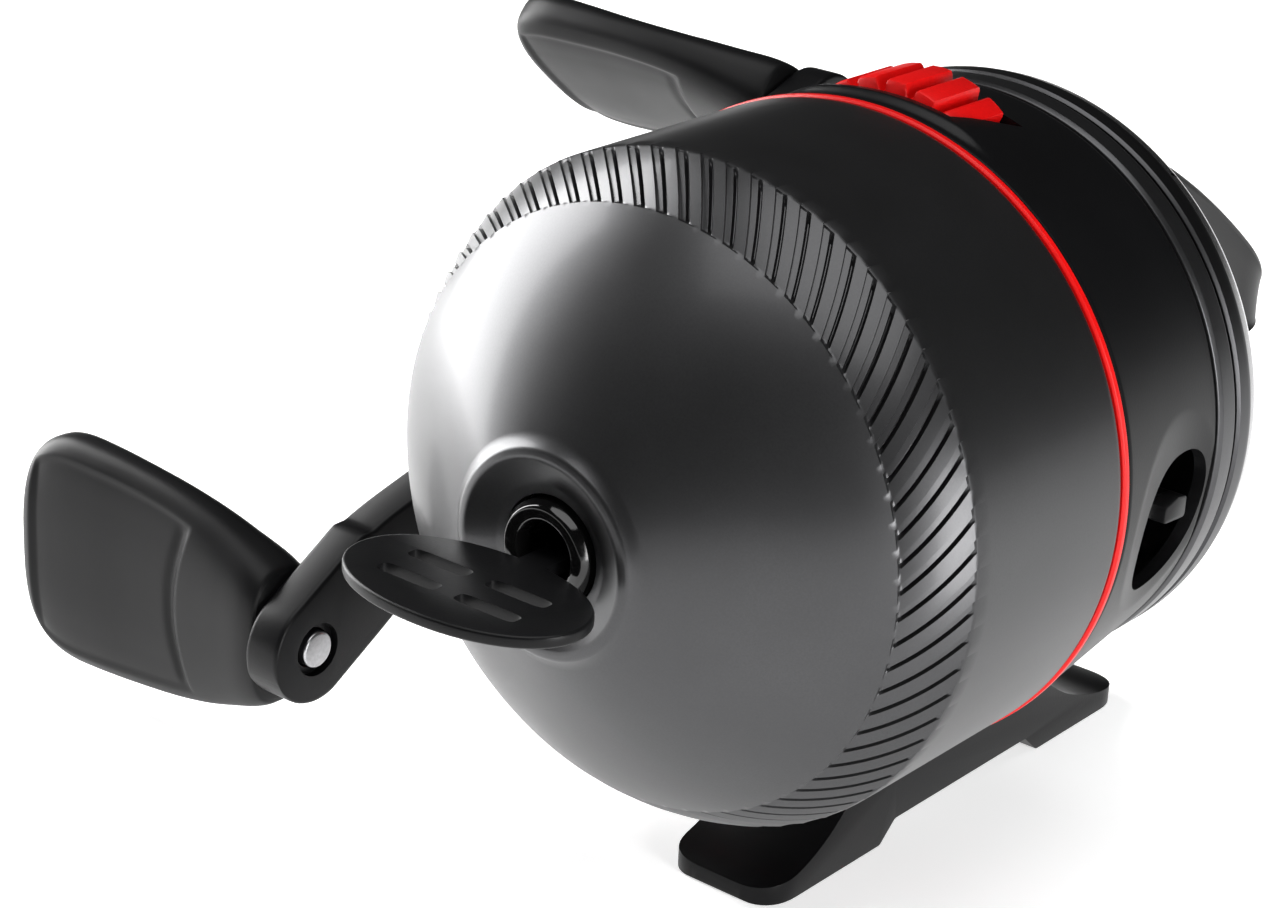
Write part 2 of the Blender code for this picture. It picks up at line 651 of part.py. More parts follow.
def crank_parts(reel):
    crank = (0, CRANK_Y, CRANK_Z)
    shaft = cylinder(CRANKSHAFT_R, -43.2, POST_X[1], "X", crank, 20)
    reel.piece("crankshaft", shaft, "crank", "steel")
    ratchet = [(CRANK_Y + r * math.cos(a), CRANK_Z + r * math.sin(a)) for r, a in ratchet_points()]
    wheel = reel.piece("ratchet_wheel", prism(ratchet, "X", *PAWL_X), "crank", "steel")
    reel.cut(wheel, "crank", cylinder(CRANKSHAFT_R + GAP, 7, 13, "X", crank, 20))
    washer = ring(CRANKSHAFT_R + GAP, 5.6, -34.8, -33.6, "X", crank)
    reel.piece("crank_washer", washer, "crank", "steel")
    nut = [(CRANK_Y + y, CRANK_Z + z) for y, z in polygon(5.0, 6)]
    made = reel.piece("handle_nut", prism(nut, "X", -43.6, -40.3), "crank", "steel")
    reel.cut(made, "crank", cylinder(CRANKSHAFT_R + GAP, -46, -38, "X", crank, 20))
    for name, (y, z) in (("knob_pin_front", KNOB_FRONT), ("knob_pin_rear", KNOB_REAR)):
        pin = cylinder(KNOB_PIN_R, -76.0, END_INNER_X + 0.1, "X", (0, y, z), 20)
        reel.piece(name, pin, "crank", "steel")


def ratchet_points():
    """Saw teeth round the anti-reverse wheel."""
    teeth = 10
    points = []
    for i in range(teeth):
        points.append((8.0, 2 * math.pi * i / teeth))
        points.append((6.2, 2 * math.pi * (i + 0.12) / teeth))
    return points


def arm_stations():
    """(distance from the hub, half width, inner face x) along half the arm."""
    stations = [(0.0, 6.2, HUB_INNER_X), (6.5, 6.0, HUB_INNER_X), (15.0, 5.3, -36.6),
                (25.0, 5.3, -39.2), (34.0, 5.4, END_INNER_X + 0.4), (37.0, 6.0, END_INNER_X)]
    for step in range(7):
        angle = math.radians(10 + 13 * step)
        stations.append((ARM_REACH + ARM_HALF_WIDTH * math.sin(angle),
                         ARM_HALF_WIDTH * math.cos(angle), END_INNER_X))
    return stations


def crank_arm(reel):
    half = arm_stations()
    stations = [(-s, w, x) for s, w, x in half[:0:-1]] + half
    along = Vector((0, math.cos(ARM_TILT), math.sin(ARM_TILT)))
    across = Vector((0, -math.sin(ARM_TILT), math.cos(ARM_TILT)))
    hub = Vector((0, CRANK_Y, CRANK_Z))
    edge = 0.7
    sections = []
    for s, w, x in stations:
        outer = x - ARM_THICKNESS
        trim = min(edge, w * 0.5)
        spine = hub + along * s - across * (ARM_BOW * min(abs(s) / ARM_REACH, 1) ** 2)
        corners = [(x, w - trim), (x, trim - w), (x - trim, -w), (outer + trim, -w),
                   (outer, trim - w), (outer, w - trim), (outer + trim, w), (x - trim, w)]
        sections.append([spine + across * a + Vector((b, 0, 0)) for b, a in corners])
    arm = reel.piece("crank_arm", loft(sections), "crank", "black_satin")
    reel.cut(arm, "crank",
             cylinder(CRANKSHAFT_R + GAP, -50, -30, "X", (0, CRANK_Y, CRANK_Z), 20))
    for y, z in (KNOB_FRONT, KNOB_REAR):
        reel.cut(arm, "crank", stepped_cutter(KNOB_PIN_R + GAP, 2.9, -50, END_INNER_X - 0.8, -38,
                                              "X", (0, y, z)))


def knob_stations():
    """(x, half width, half thickness) from the neck to the far end."""
    return [(KNOB_NECK_X, 7.4, 4.6), (-48.5, 8.4, 4.7), (-52.0, 9.8, 4.4), (-57.0, 11.3, 3.9),
            (-63.0, 12.4, 3.6), (-70.0, 13.1, 3.7), (-77.0, KNOB_HALF_WIDTH, 4.1),
            (-81.5, 12.5, 4.2), (-84.2, 9.8, 3.4), (KNOB_END_X, 6.4, 2.2)]


def knobs(reel):
    """Both paddles; the rear one has turned on its pin, as free knobs do."""
    jobs = (("knob_front", KNOB_FRONT, 0.0), ("knob_rear", KNOB_REAR, KNOB_REAR_TURN))
    for name, (y, z), turn in jobs:
        c, s = math.cos(turn), math.sin(turn)
        sections = [[(x, y + b * c - a * s, z + b * s + a * c)
                     for a, b in oval(width, thick, 2.8, 18)]
                    for x, width, thick in knob_stations()]
        knob = reel.piece(name, loft(sections), name, "soft_black")
        bore = cylinder(KNOB_PIN_R + GAP, -76.5, -40, "X", (0, y, z), 20)
        reel.cut(knob, name, bore)


# ---- controls ----

def drag_dial(reel):
    outline = []
    for i in range(DIAL_RIBS):
        for part, radius in ((0.0, DIAL_R), (0.55, DIAL_R), (0.7, DIAL_R - 1.3),
                             (0.85, DIAL_R - 1.3)):
            angle = 2 * math.pi * (i + part) / DIAL_RIBS
            outline.append((radius * math.cos(angle), DIAL_Z + radius * math.sin(angle)))
    dial = reel.piece("drag_dial", prism(outline, "Y", *DIAL_Y), "drag_dial", "red")
    reel.cut(dial, "drag_dial", cylinder(2.3, 0, 16, centre=(0, 0, DIAL_Z), segments=20))
    reel.piece("drag_screw", cylinder(2.0, -4.85, 15.0, centre=(0, 0, DIAL_Z), segments=20),
               "drag_dial", "steel")


def button_top(y):
    """Height of the button's crown line, a shallow curve down to its tip."""
    t = (y - 28.0) / (BUTTON_END_Y - 28.0)
    return 27.2 - 15.6 * t - 9.7 * t ** 2


def button_width(y, half_width):
    """Half width in plan: straight, then rounded in towards the tip."""
    start = 55.0
    if y <= start:
        return half_width
    t = (y - start) / (BUTTON_END_Y + 1.2 - start)
    return half_width * math.sqrt(1 - t ** 2.6)


def button_loft(stations, shrink, floor):
    sections = []
    for y in stations:
        top = button_top(y) - shrink
        width = button_width(y, BUTTON_HALF_WIDTH) - shrink
        section = []
        for i in range(13):
            angle = math.pi * i / 12
            c, s = math.cos(angle), math.sin(angle)
            section.append((width * math.copysign(abs(c) ** 0.55, c), y,
                            floor + (top - floor) * s ** 0.62))
        sections.append(section)
    return loft(sections)


def thumb_button(reel):
    outer = button_loft((28.4, 34, 40, 46, 51, 55, 58, 61, 63.5, 65.8, BUTTON_END_Y), 0,
                        BUTTON_FLOOR_Z)
    button = reel.piece("thumb_button", outer, "thumb_button", "black_satin")
    hollow = button_loft((26.5, 34, 40, 46, 51, 56, 60, 62.5), 1.7, BUTTON_FLOOR_Z + 1.5)
    reel.cut(button, "thumb_button", hollow)
    barrel = cylinder(2.6, -12.5, 12.5, "X", (0, BUTTON_PIVOT_Y, BUTTON_PIVOT_Z), 20)
    pusher = box((-2.5, SHAFT_END_Y + 0.6, BUTTON_FLOOR_Z + 0.5), (2.5, 36.0, 4.0))
    reel.join(button, "thumb_button", barrel, pusher)
    pin_hole = cylinder(1.3, -14, 14, "X", (0, BUTTON_PIVOT_Y, BUTTON_PIVOT_Z), 16)
    reel.cut(button, "thumb_button", pin_hole)
    reel.piece("button_pin", cylinder(1.0, -16.9, 16.9, "X",
                                      (0, BUTTON_PIVOT_Y, BUTTON_PIVOT_Z), 12),
               "housing", "steel")


def anti_reverse(reel):
    centre = (0, PAWL_Y, PAWL_Z)
    reel.piece("pawl_pin", cylinder(1.2, 8.4, POST_X[1], "X", centre, 14), "housing", "steel")
    toward = Vector((CRANK_Y - PAWL_Y, CRANK_Z - PAWL_Z)).normalized()
    side = Vector((-toward.y, toward.x))
    pivot = Vector((PAWL_Y, PAWL_Z))
    tip = [pivot + toward * a + side * b for a, b in ((1.0, 2.2), (4.6, 2.6), (4.9, 1.4),
                                                      (1.5, -1.4))]
    pawl = reel.piece("anti_reverse_pawl", cylinder(2.6, *PAWL_X, "X", centre, 20), "pawl",
                      "steel")
    reel.join(pawl, "pawl", prism([(p.x, p.y) for p in tip], "X", *PAWL_X))
    reel.cut(pawl, "pawl", cylinder(1.5, 7, 13, "X", centre, 16))
    reel.piece("pawl_spring", coil(2.0, 0.25, 11.4, 14.2, 3, "X", centre, 9), "housing",
               "steel")


def alert_switch(reel):
    switch = reel.piece("alert_switch", box(*SWITCH_TAB), "alert_switch", "black_satin")
    reel.join(switch, "alert_switch", box(*SWITCH_STEM))


def line_keeper(reel):
    """The oval tag on the nose that keeps the line's end from running back in."""
    middle_x, middle_y = TAG_MIDDLE
    low, high = TAG_Z
    plate = [(middle_x + x, middle_y + y) for x, y in oval(*TAG_HALF_SIZE, 2.2, 32)]
    tag = reel.piece("line_keeper_tag", prism(plate, "Z", low, high), "line_keeper",
                     "black_satin")
    reel.join(tag, "line_keeper", box((-TAG_TONGUE_HALF, middle_y + 3, low),
                                      (TAG_TONGUE_HALF, TAG_TONGUE_END_Y, high)))
    length, width = TAG_SLOT
    for row in TAG_SLOT_ROWS:
        for column in TAG_SLOT_COLUMNS:
            x, y = middle_x + column, middle_y + row
            reel.cut(tag, "line_keeper", box((x - length / 2, y - width / 2, low - GAP),
                                             (x + length / 2, y + width / 2, high + GAP)))


def build():
    clear_scene()
    reel = Reel()
    for make in (front_cover, line_guide, trim_ring, body_shroud, rear_ring, back_cover,
                 main_frame, reel_foot, fasteners, bearings, spool, spinner, pinion,
                 drive_gear, crank_parts, crank_arm, knobs, drag_dial, thumb_button,
                 anti_reverse, alert_switch, line_keeper):
        make(reel)


build()
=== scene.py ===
"""Looks for the spincast reel: smooth, detailed pieces built around the fixed frame.

Shapes are given in millimetres from one reference point, the middle of the trim ring on the
spool axis: +X is away from the crank, -Y is towards the nose and +Z is up.
"""
import json
import math

import bmesh
import bpy
import numpy as np
from mathutils import Matrix, Vector

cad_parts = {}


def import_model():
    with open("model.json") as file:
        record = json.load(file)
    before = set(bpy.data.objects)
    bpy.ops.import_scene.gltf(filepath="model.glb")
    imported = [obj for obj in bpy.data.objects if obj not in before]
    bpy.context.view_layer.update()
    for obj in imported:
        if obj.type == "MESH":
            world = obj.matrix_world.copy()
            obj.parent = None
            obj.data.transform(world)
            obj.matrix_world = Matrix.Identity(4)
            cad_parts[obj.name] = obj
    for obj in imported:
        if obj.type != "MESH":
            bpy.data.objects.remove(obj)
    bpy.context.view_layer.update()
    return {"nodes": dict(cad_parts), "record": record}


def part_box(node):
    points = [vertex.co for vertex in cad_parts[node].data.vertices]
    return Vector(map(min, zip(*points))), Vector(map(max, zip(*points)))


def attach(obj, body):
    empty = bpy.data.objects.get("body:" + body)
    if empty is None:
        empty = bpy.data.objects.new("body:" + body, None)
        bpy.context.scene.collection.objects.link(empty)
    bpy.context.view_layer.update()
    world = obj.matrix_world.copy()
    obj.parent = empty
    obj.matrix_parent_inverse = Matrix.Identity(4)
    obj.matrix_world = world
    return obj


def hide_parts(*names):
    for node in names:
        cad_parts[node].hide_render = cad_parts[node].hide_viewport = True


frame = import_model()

MM = 0.001
WELD = 0.0005                     # points closer than this are one
RING_LOW, RING_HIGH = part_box("trim_ring")
CENTRE = (RING_LOW + RING_HIGH) / 2
SLOTS = {part["node"]: part["material_slot"] for part in frame["record"]["subparts"]}
BODIES = {node: body for body, nodes in frame["record"]["behaviour"]["bodies"].items()
          for node in nodes}


def span(node):
    """A CAD node's box in millimetres from the reference point."""
    low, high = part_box(node)
    return (low - CENTRE) / MM, (high - CENTRE) / MM


def middle(node):
    """The middle of a CAD node's box, in the same millimetres."""
    low, high = span(node)
    return (low + high) / 2


# ---------------------------------------------------------------- meshes

def add_object(name, verts, faces):
    """An object from points in millimetres, its faces turned outward."""
    mesh = bpy.data.meshes.new(name)
    points = [CENTRE + Vector(v) * MM for v in verts]
    mesh.from_pydata(points, [], faces)
    bm = bmesh.new()
    bm.from_mesh(mesh)
    bmesh.ops.recalc_face_normals(bm, faces=bm.faces)
    bm.to_mesh(mesh)
    bm.free()
    made = bpy.data.objects.new(name, mesh)
    bpy.context.scene.collection.objects.link(made)
    return made


def on_axis(axis, centre, across, up, along):
    """A point beside the axis through centre: across and up from it, at along on it."""
    if axis == "X":
        return (along, centre[1] + across, centre[2] + up)
    if axis == "Y":
        return (centre[0] + across, along, centre[2] + up)
    return (centre[0] + across, centre[1] + up, along)


def skin(name, rows, wrap_rows=False, caps=True):
    """Join equal rings of points; wrap_rows joins the last ring to the first."""
    count = len(rows[0])
    verts = [point for row in rows for point in row]
    faces = []
    last = len(rows) if wrap_rows else len(rows) - 1
    for i in range(last):
        a, b = i * count, (i + 1) % len(rows) * count
        for k in range(count):
            j = (k + 1) % count
            faces.append((a + k, a + j, b + j, b + k))
    if caps and not wrap_rows:
        faces.append(tuple(range(count)))
        faces.append(tuple(range((len(rows) - 1) * count, len(rows) * count)))
    return add_object(name, verts, faces)


def turned(name, profile, axis="Y", centre=(0, 0, 0), segments=160):
    """Turn an outline of (radius, along); without a zero radius it is a closed ring."""
    solid = profile[0][0] == 0
    inner = profile[1:-1] if solid else profile
    turns = [2 * math.pi * k / segments for k in range(segments)]
    rows = [[on_axis(axis, centre, r * math.cos(t), r * math.sin(t), a) for t in turns]
            for r, a in inner]
    return skin(name, rows, wrap_rows=not solid)


def fillet(points, radius, steps=5, closed=True):
    """Round the corners of an outline; radius is one number or one for each corner."""
    radii = radius if isinstance(radius, (list, tuple)) else [radius] * len(points)
    rounded = []
    for i, (point, r) in enumerate(zip(points, radii)):
        ends = not closed and i in (0, len(points) - 1)
        here = Vector(point)
        before, after = Vector(points[i - 1]), Vector(points[(i + 1) % len(points)])
        u, v = (before - here), (after - here)
        if ends or r == 0 or u.length == 0 or v.length == 0:
            rounded.append(tuple(point))
            continue
        half = u.angle(v) / 2
        if half > math.radians(87):
            rounded.append(tuple(point))
            continue
        reach = min(r / math.tan(half), 0.45 * u.length, 0.45 * v.length)
        start, end = here + u.normalized() * reach, here + v.normalized() * reach
        for k in range(steps + 1):
            t = k / steps
            spot = start * (1 - t) ** 2 + here * 2 * t * (1 - t) + end * t ** 2
            rounded.append(tuple(spot))
    return rounded


def smooth_line(points, steps=6):
    """A Catmull-Rom curve through the points, open at both ends."""
    line = [Vector(p) for p in points]
    line = [line[0] * 2 - line[1]] + line + [line[-1] * 2 - line[-2]]
    out = []
    for a, b, c, d in zip(line, line[1:], line[2:], line[3:]):
        for k in range(steps):
            t = k / steps
            out.append(tuple(0.5 * (2 * b + (c - a) * t + (2 * a - 5 * b + 4 * c - d) * t ** 2
                                    + (3 * b - a - 3 * c + d) * t ** 3)))
    return out + [tuple(points[-1])]


def prism(name, outline, axis, start, end):
    """Extrude an outline of (across, up) points along an axis."""
    rows = [[on_axis(axis, (0, 0, 0), a, u, along) for a, u in outline]
            for along in (start, end)]
    return skin(name, rows)


def box(name, low, high):
    return prism(name, [(low[0], low[1]), (high[0], low[1]), (high[0], high[1]),
                        (low[0], high[1])], "Z", low[2], high[2])


def oval(across, up, power, count):
    """A superellipse outline; power 2 is an ellipse, larger is squarer."""
    points = []
    for i in range(count):
        angle = 2 * math.pi * i / count
        c, s = math.cos(angle), math.sin(angle)
        points.append((across * math.copysign(abs(c) ** (2 / power), c),
                       up * math.copysign(abs(s) ** (2 / power), s)))
    return points


def bake(piece):
    """Replace a piece's mesh by what its modifiers make of it."""
    graph = bpy.context.evaluated_depsgraph_get()
    graph.update()
    made = bpy.data.meshes.new_from_object(piece.evaluated_get(graph))
    piece.modifiers.clear()
    old = piece.data
    piece.data = made
    bpy.data.meshes.remove(old)
    bm = bmesh.new()
    bm.from_mesh(made)
    bmesh.ops.remove_doubles(bm, verts=bm.verts, dist=WELD * MM)
    bmesh.ops.dissolve_degenerate(bm, edges=bm.edges, dist=WELD * MM)
    bm.to_mesh(made)
    bm.free()


def combine(piece, operation, tools):
    for tool in tools:
        step = piece.modifiers.new("shape", "BOOLEAN")
        step.operation = operation
        step.solver = "EXACT"
        step.object = tool
        bake(piece)
        bpy.data.objects.remove(tool)


def cut(piece, *tools):
    combine(piece, "DIFFERENCE", tools)


def join(piece, *tools):
    combine(piece, "UNION", tools)


def bevel(piece, width, segments=3, angle=35):
    step = piece.modifiers.new("edges", "BEVEL")
    step.width = width * MM
    step.segments = segments
    step.limit_method = "ANGLE"
    step.angle_limit = math.radians(angle)
    step.use_clamp_overlap = True
    bake(piece)


def smooth(piece, angle=35):
    """Smooth shading, with edges sharper than the angle in degrees kept crisp."""
    piece.data.shade_smooth()
    piece.data.set_sharp_from_angle(angle=math.radians(angle))


def finish_piece(piece, node, look, angle=35):
    """Shade a piece, give it its material and put it in a CAD node's place."""
    smooth(piece, angle)
    piece.data.materials.clear()
    piece.data.materials.append(look)
    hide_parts(node)
    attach(piece, BODIES[node])


# ---------------------------------------------------------------- materials

def surface(name, colour, metallic, roughness, grain=2500, depth=0.01, mottle=0.12,
            coat=0.0, edge=0.0, stretch=(1, 1, 1), specular=0.5):
    """A moulded, painted or machined surface.

    grain is the fine texture's frequency per metre and depth its height in millimetres; mottle
    is how much colour and roughness drift; edge lightens worn corners; stretch draws the grain
    out into brush marks.
    """
    look = bpy.data.materials.new(name)
    look.use_nodes = True
    nodes, links = look.node_tree.nodes, look.node_tree.links
    shader = nodes["Principled BSDF"]
    shader.inputs["Metallic"].default_value = metallic
    shader.inputs["Specular IOR Level"].default_value = specular
    shader.inputs["Coat Weight"].default_value = coat
    shader.inputs["Coat Roughness"].default_value = 0.12
    place = nodes.new("ShaderNodeTexCoord")
    mapping = nodes.new("ShaderNodeMapping")
    mapping.inputs["Scale"].default_value = stretch
    links.new(place.outputs["Object"], mapping.inputs["Vector"])
    fine = nodes.new("ShaderNodeTexNoise")
    fine.inputs["Scale"].default_value = grain
    fine.inputs["Detail"].default_value = 4
    links.new(mapping.outputs["Vector"], fine.inputs["Vector"])
    broad = nodes.new("ShaderNodeTexNoise")
    broad.inputs["Scale"].default_value = 90
    broad.inputs["Detail"].default_value = 5
    links.new(place.outputs["Object"], broad.inputs["Vector"])
    bump = nodes.new("ShaderNodeBump")
    bump.inputs["Distance"].default_value = depth * MM
    bump.inputs["Strength"].default_value = 0.6
    links.new(fine.outputs["Fac"], bump.inputs["Height"])
    links.new(bump.outputs["Normal"], shader.inputs["Normal"])
    rough = nodes.new("ShaderNodeMapRange")
    rough.inputs["To Min"].default_value = roughness * (1 - mottle)
    rough.inputs["To Max"].default_value = roughness * (1 + mottle)
    links.new(broad.outputs["Fac"], rough.inputs["Value"])
    links.new(rough.outputs["Result"], shader.inputs["Roughness"])
    shades = nodes.new("ShaderNodeMix")
    shades.data_type = "RGBA"
    shades.inputs["A"].default_value = (*[c * (1 - mottle) for c in colour], 1)
    shades.inputs["B"].default_value = (*[c * (1 + mottle) for c in colour], 1)
    mixed = nodes.new("ShaderNodeMath")
    mixed.operation = "MULTIPLY"
    links.new(fine.outputs["Fac"], mixed.inputs[0])
    links.new(broad.outputs["Fac"], mixed.inputs[1])
    strength = nodes.new("ShaderNodeMapRange")
    strength.inputs["From Min"].default_value = 0.1
    strength.inputs["From Max"].default_value = 0.4
    links.new(mixed.outputs["Value"], strength.inputs["Value"])
    links.new(strength.outputs["Result"], shades.inputs["Factor"])
    colour_out = shades.outputs["Result"]
    if edge:
        colour_out = worn_edges(nodes, links, colour_out, colour, edge)
    links.new(colour_out, shader.inputs["Base Color"])
    return look


def worn_edges(nodes, links, colour_out, colour, edge):
    """Lighten convex corners a little, where handling polishes them."""
    shape = nodes.new("ShaderNodeNewGeometry")
    ramp = nodes.new("ShaderNodeMapRange")
    ramp.inputs["From Min"].default_value = 0.54
    ramp.inputs["From Max"].default_value = 0.72
    ramp.inputs["To Max"].default_value = edge
    links.new(shape.outputs["Pointiness"], ramp.inputs["Value"])
    worn = nodes.new("ShaderNodeMix")
    worn.data_type = "RGBA"
    worn.inputs["B"].default_value = (*[min(1, c * 2.2 + 0.03) for c in colour], 1)
    links.new(ramp.outputs["Result"], worn.inputs["Factor"])
    links.new(colour_out, worn.inputs["A"])
    return worn.outputs["Result"]


LOOKS = {
    "gunmetal": surface("gunmetal_paint", (0.062, 0.062, 0.064), 0.9, 0.36, 5200, 0.004, 0.08,
                        coat=0.12),
    "black_gloss": surface("black_ceramic", (0.004, 0.004, 0.004), 0.0, 0.1, 900, 0.002, 0.2),
    "red": surface("red_anodised", (0.64, 0.004, 0.004), 0.0, 0.36, 3500, 0.005, 0.08,
                   specular=0.3),
    "black_satin": surface("black_satin", (0.004, 0.004, 0.0044), 0.0, 0.36, 4200, 0.012,
                           0.14, specular=0.17),
    "dark_metal": surface("dark_satin_metal", (0.075, 0.075, 0.078), 0.9, 0.32, 2600, 0.004,
                          0.12, stretch=(1, 14, 1)),
    "polished": surface("polished_metal", (0.86, 0.86, 0.87), 1.0, 0.09, 1800, 0.001, 0.15),
    "cast": surface("cast_alloy", (0.42, 0.42, 0.43), 1.0, 0.36, 3000, 0.02, 0.15, edge=0.1),
    "steel": surface("turned_steel", (0.42, 0.42, 0.43), 1.0, 0.28, 2600, 0.006, 0.15),
    "brass": surface("machined_brass", (0.62, 0.4, 0.14), 1.0, 0.3, 2600, 0.006, 0.15),
    "felt": surface("oiled_felt", (0.06, 0.05, 0.04), 0.0, 0.95, 5000, 0.06, 0.3),
    "line": surface("nylon_line", (0.42, 0.48, 0.45), 0.0, 0.3, 3000, 0.02, 0.15,
                    stretch=(1, 30, 1)),
    "soft_black": surface("soft_touch", (0.0046, 0.0046, 0.005), 0.0, 0.44, 5600, 0.014,
                          0.12, specular=0.18),
}


def paint_facing_shade(look, colour, roughness):
    """Paint shade into what faces back or outward, darkening its colour by facing direction and
    dulling it, so that only the turned edge stays bright. The dark colour is painted shade
    standing in for the dark reflections of those faces.
    """
    nodes, links = look.node_tree.nodes, look.node_tree.links
    shader = nodes["Principled BSDF"]
    place = nodes.new("ShaderNodeTexCoord")
    facing = nodes.new("ShaderNodeSeparateXYZ")
    links.new(place.outputs["Normal"], facing.inputs["Vector"])
    # facing mask: where it is white, painted shade darkens the colour and the roughness rises
    shade_and_dull_ramp = nodes.new("ShaderNodeValToRGB")
    stops = shade_and_dull_ramp.color_ramp.elements
    stops[0].position, stops[1].position = 0.2, 0.95
    stops[0].color = stops[1].color = (1, 1, 1, 1)
    for position in (0.35, 0.85):
        stops.new(position).color = (0, 0, 0, 1)
    links.new(facing.outputs["Y"], shade_and_dull_ramp.inputs["Fac"])
    for socket, kind, value in (("Base Color", "RGBA", (*colour, 1)),
                                ("Roughness", "FLOAT", roughness)):
        blend = nodes.new("ShaderNodeMix")
        blend.data_type = kind
        blend.inputs["B"].default_value = value
        links.new(shade_and_dull_ramp.outputs["Color"], blend.inputs["Factor"])
        links.new(shader.inputs[socket].links[0].from_socket, blend.inputs["A"])
        links.new(blend.outputs["Result"], shader.inputs[socket])
    return look


# The polished back cover with painted shade: its rim and rear face get a dark colour by facing
# direction, in place of their dark reflections.
COVER_LOOK = paint_facing_shade(surface("bright_edged_cover", (0.8, 0.8, 0.81), 1.0, 0.12, 1800,
                                  0.001, 0.15), (0.07, 0.07, 0.073), 0.36)


def look(node):
    """The material of a CAD node's slot."""
    return LOOKS[SLOTS[node]]


def repaint_frame():
    """Every CAD node gets the procedural material of its slot."""
    for node, piece in frame["nodes"].items():
        piece.data.materials.clear()
        piece.data.materials.append(look(node))


# ---------------------------------------------------------------- front cover

COVER_R = span("front_cover")[1].x
SKIRT_FRONT = -24.7
DOME_R = COVER_R - 0.2
DOME_START = SKIRT_FRONT - 0.6
DOME_DEPTH = 22.5
BAND_OUTER = (COVER_R, SKIRT_FRONT)
BAND_INNER_T = 0.375              # where the ridge band ends on the dome
BAND_BULGE = 0.3
RIDGES = 72
RIDGE_DEPTH = 0.9
RIDGE_SLANT = 10.9 / 360 * RIDGES  # pitches a ridge shifts between its ends
# height across one ridge: a sharp crest, a narrow face, a groove and a wide face
RIDGE_SHAPE = ((0.0, 1.0), (0.045, 0.66), (0.30, 0.74), (0.385, 0.12), (0.415, 0.12), (0.50, 0.8),
               (1.0, 1.0))
COVER_WALL = 1.5
GUIDE_HOLE_R = 5.35
RIDGE_PLACES = (0.0, 0.02, 0.045, 0.13, 0.21, 0.30, 0.34, 0.385, 0.415, 0.45, 0.50, 0.62, 0.75,
                0.88, 0.97)


def dome_point(t, shrink=0.0):
    """(radius, y) on the dome; t runs from 0 at the skirt to pi/2 at the tip."""
    return ((DOME_R - shrink) * math.cos(t) ** (2 / 1.2),
            DOME_START - (DOME_DEPTH - 0.7 * shrink) * math.sin(t) ** (2 / 1.5) + 0.7 * shrink)


def band_point(f):
    """The ridge band is a shallow cone from the skirt to the dome."""
    inner = dome_point(BAND_INNER_T)
    bulge = BAND_BULGE * 4 * f * (1 - f)
    return (BAND_OUTER[0] + (inner[0] - BAND_OUTER[0]) * f + 0.85 * bulge,
            BAND_OUTER[1] + (inner[1] - BAND_OUTER[1]) * f - 0.5 * bulge)


def ridge_cut(places, f):
    """How deep the band is cut at fraction f of its width, for places across a ridge."""
    known, heights = zip(*RIDGE_SHAPE)
    cut_depth = RIDGE_DEPTH * (1 - np.interp(places, known, heights))
    fade = 7.0 * min(f + 0.02, 1.0 - f)
    return np.minimum(cut_depth, max(fade, 0.0))


def front_cover():
    """One ring of points after another; their columns lean with the ridges in the band."""
    places = np.tile(RIDGE_PLACES, RIDGES)
    pitches = places + np.repeat(np.arange(RIDGES), len(RIDGE_PLACES))
    rows = []

    def ring(r, y, f):
        turns = -2 * math.pi * (pitches + RIDGE_SLANT * f) / RIDGES
        rows.append(np.stack([r * np.cos(turns), y + 0 * turns, r * np.sin(turns)], 1))

    rear_lip = [(COVER_R - COVER_WALL, -0.8), (COVER_R - 0.35, -0.8), (COVER_R - 0.1, -0.88),
                (COVER_R, -1.1)]
    skirt = [(COVER_R, y) for y in np.linspace(-1.5, SKIRT_FRONT + 0.4, 14)]
    for r, y in rear_lip + skirt:
        ring(r, y, 0)
    inner = dome_point(BAND_INNER_T)
    along = Vector((inner[0] - BAND_OUTER[0], inner[1] - BAND_OUTER[1])).normalized()
    for f in np.linspace(0, 1, 42):
        r, y = band_point(f)
        cut_depth = ridge_cut(places, f)
        ring(r + along.y * cut_depth, y - along.x * cut_depth, f)
    last_t = math.acos((10.6 / DOME_R) ** 0.6)
    for t in np.linspace(BAND_INNER_T + 0.02, last_t, 34):
        ring(*dome_point(t), 1)
    nose = fillet([dome_point(last_t), (9.9, -44.6), (9.1, -44.85), (7.6, -44.1),
                   (6.3, -43.5), (GUIDE_HOLE_R, -43.3)], [0, 0.8, 0.8, 2.0, 2.0, 0], 6,
                  closed=False)
    for r, y in nose[1:]:
        ring(r, y, 1)
    ring(GUIDE_HOLE_R, -42.0, 1)
    ring(7.2, -42.1, 1)
    for t in np.linspace(last_t, 0.05, 12):
        ring(*dome_point(t, COVER_WALL), (t - 0.05) / (last_t - 0.05))
    piece = skin("front_cover_shell", [[tuple(p) for p in row] for row in rows],
                 wrap_rows=True)
    finish_piece(piece, "front_cover", look("front_cover"), 28)


def line_guide():
    """The rounded eye in the nose that the line runs through."""
    low, high = span("line_guide")
    outline = [(2.8, high.y - 0.1), (2.8, low.y + 1.3), (3.3, low.y), (4.5, low.y),
               (5.0, low.y + 0.8), (5.0, high.y - 1.1), (high.x, high.y - 1.1),
               (high.x, high.y), (3.1, high.y)]
    outline = fillet(outline, [0.2, 0.5, 0.7, 0.5, 0.3, 0.2, 0.2, 0.2, 0.2], 6)
    piece = turned("line_guide_bush", outline, segments=128)
    finish_piece(piece, "line_guide", look("line_guide"), 50)


def trim_band():
    """The thin red ring between the front cover and the shroud."""
    low, high = span("trim_ring")
    outline = [(29.2, low.y), (high.x - 0.25, low.y), (high.x, low.y + 0.22),
               (high.x, high.y - 0.22), (high.x - 0.25, high.y), (29.2, high.y)]
    piece = turned("trim_band", fillet(outline, [0, 0.1, 0.15, 0.15, 0.1, 0], 3), segments=256)
    finish_piece(piece, "trim_ring", look("trim_ring"), 50)


# ---------------------------------------------------------------- body

